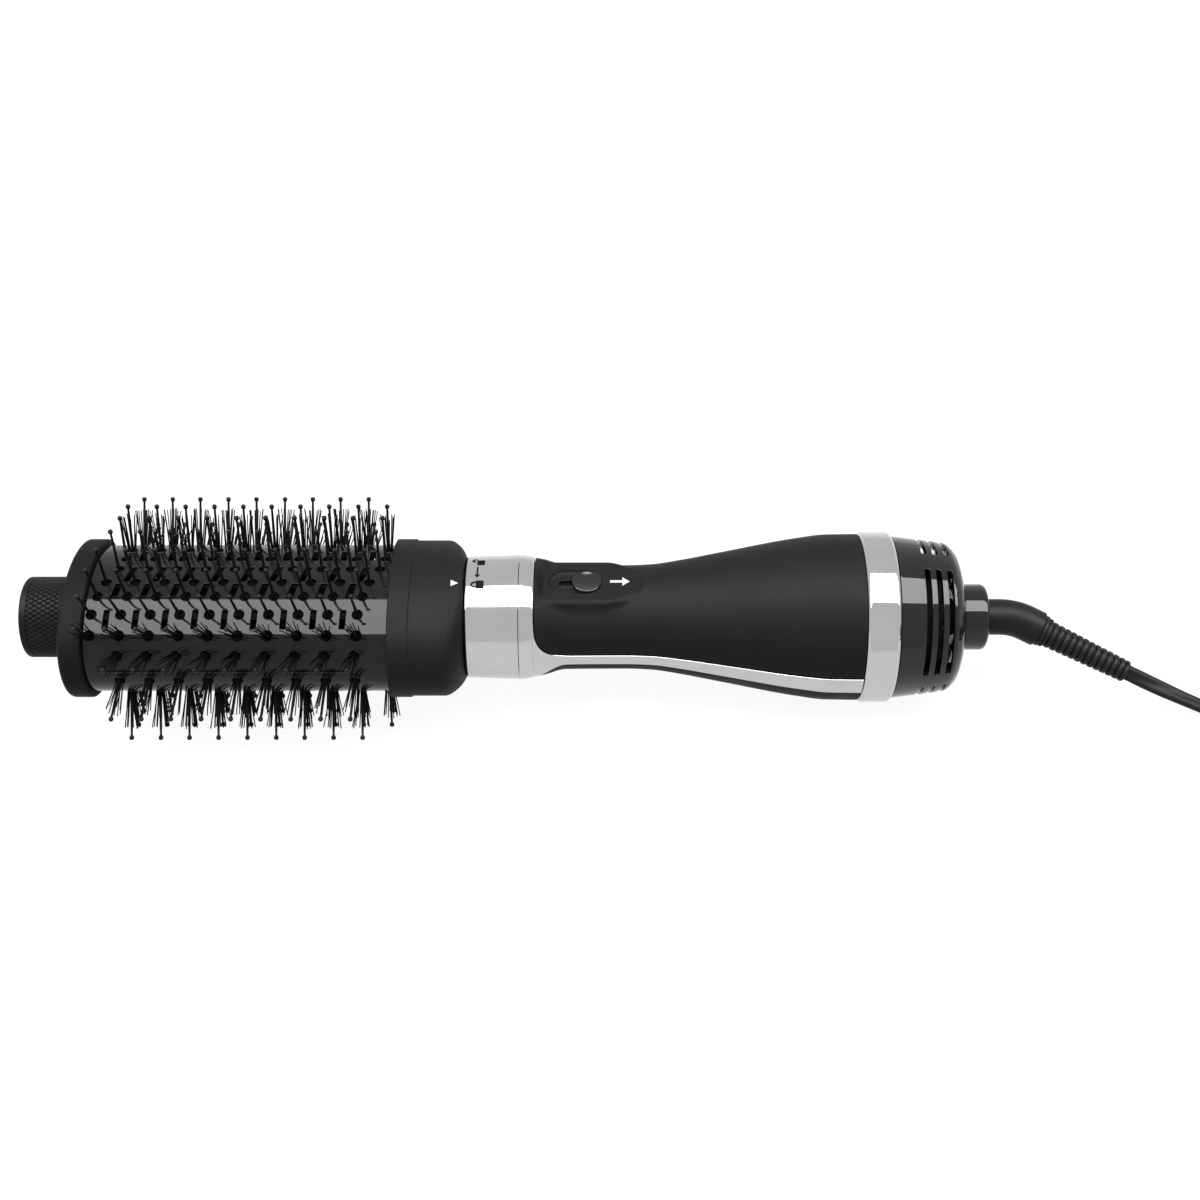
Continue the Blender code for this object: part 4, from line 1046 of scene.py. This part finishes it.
def shell_row(x, start, end, meet_start, meet_end, angles, radius, neck):
    """One closed ring of a shell: its skin, the shelves under the trims, and its inside."""
    here = SKIN(x)
    turns = [start + (end - start) * share for share in angles]
    if neck:
        row = [polar(x, angle, neck) for angle in turns]
        shelf = neck - 0.05
        left, right = [[(angle, shelf)] * 4 for angle in (start, end)]
    else:
        row = [polar(x, angle, radius(x, angle)) for angle in turns]
        shelf = here - 1.35
        left, right = [[(angle + inwards * in_by / here, here - low)
                        for in_by, low in ((0.22, 0.0), (0.06, 0.07), (0.0, 0.22), (0.0, 1.35))]
                       for angle, inwards in ((start, 1), (end, -1))]
        row[0] = polar(x, start + 0.5 / here, radius(x, start))
        row[-1] = polar(x, end - 0.5 / here, radius(x, end))
    row += [polar(x, a, r) for a, r in right]
    row += [polar(x, meet_end, shelf), polar(x, meet_end, within(x))]
    count = 20
    for i in range(1, count):
        row.append(polar(x, meet_end + (meet_start - meet_end) * i / count, within(x)))
    row += [polar(x, meet_start, within(x)), polar(x, meet_start, shelf)]
    row += [polar(x, a, r) for a, r in reversed(left)]
    return row


def build_shell(front):
    """The front or the rear half of the grip, between the two side strips."""
    gap, meet, overlap = math.radians(0.8), math.radians(101.4), 0.0105
    stations = [-24.19] + spread(-24.0, -20.2, 0.38) + spread(-20.0, 2.0, 1.6)[1:] + spread(2.4, 17.2, 0.37)
    stations += spread(17.6, GRIP_END, 2.2)[:-1] + [GRIP_END - 0.3, GRIP_END - 0.1, GRIP_END]
    necks = [(-30.0, 20.3), (-24.2, 20.3)], [(GRIP_END + 0.02, 30.2), (108.0, 30.2)]
    rows = []
    for x, neck in [*necks[0], *[(x, None) for x in stations], *necks[1]]:
        grow = flare(x) / SKIN(x)
        if front:
            end = STRIP_START - grow - gap
            start, close = -end, (-meet, meet)
            pad = [math.radians(d) for d in (*[-d for d in PAD_GRID[:0:-1]], *PAD_GRID)]
            low = pad[-1]
            stops = [start + (-low - start) * k / 9 for k in range(9)] + pad
            stops += [low + (end - low) * k / 9 for k in range(1, 10)]
            if end < low + 0.01:
                stops = [start + (end - start) * k / (len(stops) - 1) for k in range(len(stops))]
            angles = [(stop - start) / (end - start) for stop in stops]
            radius = grip_radius
        else:
            start = STRIP_END + grow + gap
            end, close = TURN - start, (meet + overlap, TURN - meet - overlap)
            angles = [k / 48 for k in range(49)]
            radius = round_radius
        if neck:
            start, end = close
        rows.append(shell_row(x, start, end, *close, angles, radius, neck))
    shape = bmesh.new()
    column(shape, rows)
    weld(shape, 1e-3)
    return outward(shape)


def stadium_row(front, back, width, inset, z):
    """A ring with two straight sides and round ends, from front to back along the brush."""
    radius = width / 2 - inset
    row = []
    for middle, start in ((back - width / 2, -math.pi / 2), (front + width / 2, math.pi / 2)):
        for i in range(25):
            angle = start + math.pi * i / 24
            row.append(Vector((middle + radius * math.cos(angle), radius * math.sin(angle), z)))
    return row


def recess_row(inset, z):
    return stadium_row(-19.5, 0.9, 12.8, inset, z)


def build_front_shell():
    """The front half, with the button's recess and slot cut into its pad."""
    radius = RECESS_DEEP / (1 - math.cos(RECESS_STEEP))
    floor = PAD_Z - RECESS_DEEP
    rows = [recess_row(-0.10, 26.0), recess_row(-0.10, PAD_Z - 0.01), recess_row(0.03, PAD_Z - 0.07)]
    for i in range(1, 11):
        steep = RECESS_STEEP * (1 - i / 10)
        inset = radius * (math.sin(RECESS_STEEP) - math.sin(steep))
        rows.append(recess_row(inset, floor + radius * (1 - math.cos(steep))))
    scoop, slot = bmesh.new(), bmesh.new()
    column(scoop, rows)
    column(slot, [stadium_row(-15.6, -2.8, 3.6, 0.0, z) for z in (20.0, 12.0)])
    shape = cut(build_shell(True), outward(scoop), outward(slot))
    # The recess wall that faces +Y is polished.
    for face in shape.faces:
        x, y, z = face.calc_center_median()
        if -19.6 < x < 1.0 and abs(y) < 6.45 and 16.9 < z < PAD_Z - 0.05 and face.normal.y > 0.2:
            face.material_index = 2
    arrow = [(3.75, -0.6), (8.3, -0.6), (8.3, -2.2), (11.05, 0.0), (8.3, 2.2), (8.3, 0.6), (3.75, 0.6)]
    print_marks(shape, [arrow], 0.0, 0.04)
    piece("front_shell_skin", shape, [SOFT, PRINT, BUTTON], "handle", "soft_touch_black",
          "handle_front_shell", sharp=34.0)


def build_rear_shell():
    """The rear half, with its two screw sinks."""
    sink = [(-34.0, 0.0), (-34.0, 3.3), (-20.2, 3.3), (-20.2, 1.7), (-10.0, 1.7), (-10.0, 0.0)]
    sinks = [post(sink, (39.5, y)) for y in (-9.0, 9.0)]
    shape = cut(build_shell(False), *sinks)
    piece("rear_shell_skin", shape, SOFT, "handle", "soft_touch_black", "handle_rear_shell", sharp=34.0)


def build_button():
    """The dished button, its neck, and the shutter that slides just under the slot."""
    brim, top, dip = 4.85, 19.16, 0.86
    dish = [(top - dip * (1 - (r / brim) ** 2), r) for r in (4.4, 3.8, 3.1, 2.3, 1.4, 0.6, 0.0)]
    rim = fillet([(17.7, 0.0), (17.7, 5.5), (19.0, 5.5), (19.22, 5.1), (top, brim)], [0, 0.15, 0.3, 0.15, 0],
                 4, 0.05)
    shape = post(rim + dish, (BUTTON_X, 0.0), 72)
    merge(shape, plate(bar(BUTTON_X - 1.5, BUTTON_X + 1.5, 1.5, 0.4), (17.8, 14.1)))
    merge(shape, plate(bar(-16.3, 6.6, 2.6, 0.8, 4), (16.1, 15.75)))
    piece("switch_button", shape, BUTTON, "switch", "gloss_black", "switch_slider")


build_lock_ring()
build_trim()
build_front_shell()
build_rear_shell()
build_button()


# ---- rear band, cap, boss and cord exit ----


def build_band():
    shape = turned_ring([(97.2, 30.7), (97.2, 31.3), (98.2, 32.3), (108.1, 32.3), (109.1, 31.3),
                         (109.1, 30.7)], [0, 0.15, 0.5, 0.5, 0.15, 0], 180)
    piece("rear_band_shell", shape, CHROME, "handle", "chrome_plating", "rear_band", sharp=50.0)


CAP_LINE = through([(109.4, 30.8), (119.0, 29.6), (124.6, 28.9), (130.0, 28.0), (131.4, 27.3)])
CAP_STEPS, CAP_MEAN, CAP_WALL = 120, 29.0, 2.6


def build_rear_cap():
    shape = bmesh.new()
    start, end = 117.0, 130.6
    lines = [TURN * CAP_MEAN * i / CAP_STEPS for i in range(CAP_STEPS + 1)]
    edge = ((0.0, 0.0), (0.05, -0.02), (0.15, -0.10), (0.2, -0.25), (0.22, -2.4))
    half = 1.2
    holes = []
    for station in (119.8, 124.0, 128.2):
        for low, high in ((7, 93), (107, 173), (187, 253), (267, 353)):
            v0, v1 = math.radians(low) * CAP_MEAN, math.radians(high) * CAP_MEAN
            outline = []
            for middle, first in ((v1 - half, 0.0), (v0 + half, math.pi)):
                for i in range(9):
                    angle = first + math.pi * i / 8
                    outline.append((station + half * math.cos(angle), middle + half * math.sin(angle)))
            holes.append((outline, edge))

    def surface(x, v, height):
        return polar(x, v / CAP_MEAN, CAP_LINE(x) + height)

    def normal(x, v):
        slope = (CAP_LINE(x + 0.05) - CAP_LINE(x - 0.05)) / 0.1
        angle = v / CAP_MEAN
        return Vector((-slope, -math.sin(angle), math.cos(angle))).normalized()

    pierced(shape, start, end, lines, holes, surface, normal, CAP_WALL, 6, ends=False)
    tail = smooth_line([(end, CAP_LINE(end)), (133.2, 24.9), (135.5, 18.4), (136.4, 13.0)], 0.6)
    close = fillet([tail[-1], (136.4, 7.4), (134.4, 7.4), (134.4, 14.0), (132.0, 22.8),
                    (end, CAP_LINE(end) - CAP_WALL)], 0.2, 3)
    lathe(shape, tail + close[1:], CAP_STEPS)
    front = fillet([(start, CAP_LINE(start) - CAP_WALL), (106.0, 26.4), (106.0, 27.9), (109.4, 27.9),
                    (109.4, 30.8), (112.0, CAP_LINE(112.0))], [0, 0.2, 0.2, 0.1, 0.5, 0], 4)
    lathe(shape, front + [(x, CAP_LINE(x)) for x in (113.5, 115.0, start)], CAP_STEPS)
    weld(shape, 3e-3)
    piece("rear_cap_shell", outward(shape), GLOSS, "handle", "gloss_black", "rear_cap", normals=true_normals)


def build_boss():
    shape = bmesh.new()
    start, end = 136.7, 145.8
    outline = fillet([(start, 7.4), (start, 12.5), (end, 12.5), (end, 7.4)], [0, 0.2, 3.0, 0.35], 8)
    lathe(shape, [*outline[:-1], (end, 7.75), (end - 0.3, 7.4)], 96, closed=True)
    weld(shape)
    piece("swivel_boss_shell", outward(shape), GLOSS, "handle", "gloss_black", "swivel_boss")


def build_elbow():
    """The bent sleeve, its last edge broken."""
    shape = bmesh.new()
    radius, end_radius = 6.8, 6.5
    points = [Vector((x, 0.0, 0.0)) for x in (131.0, 136.0, 141.0, 146.0, 150.0)]
    a, b, c = Vector((151.5, 0.0, 0.0)), bent(0.0), bent(5.5)
    for i in range(13):
        t = i / 12
        points.append((1 - t) ** 2 * a + 2 * t * (1 - t) * b + t * t * c)
    points += [bent(8.0), bent(10.4), bent(10.7)]
    section = circle(Vector((0.0, 0.0)), radius, *FLAT, 48)
    made = sweep(shape, points, section, [Vector((0.0, HALF_ROOT, HALF_ROOT))] * len(points))
    for vert in made[-1]:
        vert.co = points[-1].lerp(vert.co, end_radius / radius)
    piece("swivel_stem_sleeve", outward(shape), SLEEVE, "cord_swivel", "nylon_black", "swivel_stem")


def build_relief():
    """The strain relief: a collar, ribs that grow smaller, and a lip round the cord."""
    outline = [(0.0, 0.0), (0.0, 5.7), (0.25, 6.0), (1.3, 6.05), (1.6, 5.8), (1.7, 5.2), (2.0, 5.2),
               (2.1, 5.55), (2.4, 5.7), (2.9, 5.7), (3.2, 5.5), (3.3, 4.8)]
    ribs, first, last = 12, 3.6, 34.6
    wide = (last - first) / ribs
    for i in range(ribs):
        x0 = first + wide * i
        top = 5.1 - 0.85 * i / (ribs - 1)
        floor = top - 0.95
        for share, r in ((0.0, floor), (0.12, floor), (0.17, top - 0.35), (0.24, top - 0.1), (0.34, top),
                         (0.72, top), (0.82, top - 0.1), (0.89, top - 0.35), (0.94, floor)):
            outline.append((x0 + wide * share, r))
    outline += [(34.7, 3.3), (34.9, 3.9), (35.2, 4.15), (35.9, 4.2), (36.3, 4.05), (36.5, 3.7), (36.5, 3.2),
                (36.2, 0.0)]
    shape = bmesh.new()
    lathe(shape, outline, 56)
    weld(shape)
    turned = BEND_LINE.to_track_quat("X", "Z").to_matrix().to_4x4()
    bmesh.ops.transform(shape, verts=shape.verts, matrix=Matrix.Translation(bent(RELIEF_START)) @ turned)
    piece("strain_relief_ribs", outward(shape), RUBBER, "cord_swivel", "nylon_black", "strain_relief",
          sharp=55.0)


build_band()
build_rear_cap()
build_boss()
build_elbow()
build_relief()


# ---- coil tie and plug ----


def build_tie():
    """A strap round one side of the coil, its free end folded back over the top."""
    shape = bmesh.new()
    centre = COIL_CENTRE + Vector((32.6, 0.0, 4.35))
    wide, high, thick = 16.6, 4.25, 0.6
    outer = bar(-wide, wide, high, 2.8, 7)
    rows = []
    for y, inset in ((-3.0, 0.15), (-2.85, 0.0), (2.85, 0.0), (3.0, 0.15), (3.0, 0.45), (2.85, thick),
                     (-2.85, thick), (-3.0, 0.45)):
        x_share, z_share = 1 - inset / wide, 1 - inset / high
        rows.append([centre + Vector((p[0] * x_share, y, p[1] * z_share)) for p in outer])
    rings(shape, rows, along=True)
    outward(shape)
    merge(shape, plate(bar(centre.x - 9.0, centre.x + 6.0, 2.7, 1.6, 6, centre.y), (8.5, 8.62)))
    return piece("cord_tie_strap", shape, STRAP, "handle", "cord_black", "cord_tie", where=METRES)


PLUG = Matrix.Translation((339.3, -42.8, 0.0))
PLUG_Z = 8.5


def build_plug():
    """The plug's moulding with its finger grooves, and its two blades."""
    wide = through([(0.3, 3.9), (6.0, 4.9), (11.0, 6.4), (16.0, 8.9), (20.5, 11.4), (25.0, 12.35),
                    (41.5, 12.5)])
    high = through([(0.3, 3.3), (6.0, 4.0), (11.0, 4.9), (16.0, 6.1), (20.5, 7.2), (25.0, 7.7), (41.5, 7.8)])
    stations = [(0.3, -0.6), (0.45, -0.2), (0.8, 0.0)]
    for i in range(6):
        x = 1.2 + 2.2 * i
        stations += [(x, 0.0), (x + 1.0, 0.0), (x + 1.15, -0.55), (x + 1.95, -0.55), (x + 2.1, 0.0)]
    stations += [(x, 0.0) for x in (15.5, 17.0, 18.5, 20.0, 21.5, 23.0, 25.0, 30.0, 36.0, 40.6)]
    stations += [(40.95, -0.06), (41.25, -0.22), (41.45, -0.5), (41.5, -0.8)]
    rows = []
    for x, grow in stations:
        power = 2.2 + 2.2 * smoothstep(8.0, 25.0, x)
        row = []
        for i in range(64):
            c, s = math.cos(TURN * i / 64), math.sin(TURN * i / 64)
            y = math.copysign(abs(c) ** (2 / power), c) * (wide(x) + grow)
            z = math.copysign(abs(s) ** (2 / power), s) * (high(x) + grow)
            row.append(Vector((x, y, PLUG_Z + z)))
        rows.append(row)
    shape = bmesh.new()
    column(shape, rows)
    made = [piece("plug_moulding", outward(shape), RUBBER, "handle", "gloss_black", "plug_body",
                  where=METRES @ PLUG, sharp=45.0)]
    for side, y in (("left", 6.35), ("right", -6.35)):
        blade, bore = bmesh.new(), bmesh.new()
        outline = [(41.8, -3.15), (56.6, -3.15), (57.8, -2.1), (57.8, 2.1), (56.6, 3.15), (41.8, 3.15)]
        rows = []
        for out, inset in ((-0.75, 0.2), (-0.6, 0.0), (0.6, 0.0), (0.75, 0.2)):
            rows.append([Vector((a - math.copysign(inset, a - 50.0), y + out,
                                 PLUG_Z + b - math.copysign(inset, b))) for a, b in outline])
        column(blade, rows)
        column(bore, [circle(Vector((53.6, y + out, PLUG_Z)), 1.55, Vector((1, 0, 0)), Vector((0, 0, 1)), 24)
                      for out in (-2.0, 2.0)])
        made.append(piece(f"plug_blade_{side}_plate", cut(outward(blade), outward(bore)), BLADE, "handle",
                          "steel", f"plug_blade_{side}", where=METRES @ PLUG, sharp=30.0))
    return made


tie = build_tie()
plug_parts = build_plug()
tuple(MM @ bent(RELIEF_END))
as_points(cord_path)


# ---- finishes of the CAD nodes that stay ----

KEPT = {
    "tip_screw": STEEL, "air_guide": GUIDE, "latch_ring": STEEL, "outlet_nozzle": NYLON, "heater_coil": WIRE,
    "heater_frame": MICA, "heater_tube": MICA, "thermal_cutout": STEEL, "slide_switch": NYLON,
    "circuit_board": BOARD, "supply_lead": RUBBER, "motor": MOTOR, "motor_shaft": STEEL, "fan_rotor": NYLON,
    "fan_housing": NYLON, "inlet_filter": FOAM, "swivel_clip": STEEL, "handle_screw_left": STEEL,
    "handle_screw_right": STEEL,
}
for node, finish_of_it in KEPT.items():
    mesh = frame["nodes"][node].data
    mesh.materials.clear()
    mesh.materials.append(finish_of_it)


# ---- floor and lights ----

lit = FLOOR.node_tree.nodes["Principled BSDF"]
lit.inputs["Emission Color"].default_value = (1.0, 1.0, 1.0, 1.0)
lit.inputs["Emission Strength"].default_value = 0.93
surface = bmesh.new()
bmesh.ops.create_grid(surface, x_segments=12, y_segments=12, size=6.0)
bmesh.ops.translate(surface, verts=surface.verts, vec=(0.0, 0.0, -0.0002))
floor = piece("floor", surface, FLOOR, None, None, where=Matrix.Identity(4))

# One rectangular light over the brush's axis, tipped a little from upright towards -Y.
LIGHT_WIDE, LIGHT_DEEP, LIGHT_AWAY, RADIANCE = 4.4, 0.94, 1.30, 11.5
TIP = math.radians(5.5)
light = bpy.data.lights.new("overhead_softbox", "AREA")
light.shape = "RECTANGLE"
light.size, light.size_y = LIGHT_WIDE, LIGHT_DEEP
light.energy = RADIANCE * math.pi * LIGHT_WIDE * LIGHT_DEEP
softbox = bpy.data.objects.new("overhead_softbox", light)
bpy.context.scene.collection.objects.link(softbox)
facing = Vector((0.0, -math.sin(TIP), math.cos(TIP)))
softbox.matrix_world = (Matrix.Translation(Vector((0.0, 0.0, 0.04)) + LIGHT_AWAY * facing)
                        @ Matrix.Rotation(TIP, 4, "X"))
world = bpy.data.worlds.new("studio")
world.use_nodes = True
world.node_tree.nodes["Background"].inputs["Color"].default_value = (1.0, 1.0, 1.0, 1.0)
world.node_tree.nodes["Background"].inputs["Strength"].default_value = 0.95
bpy.context.scene.world = world
bpy.context.scene.view_settings.view_transform = "Standard"
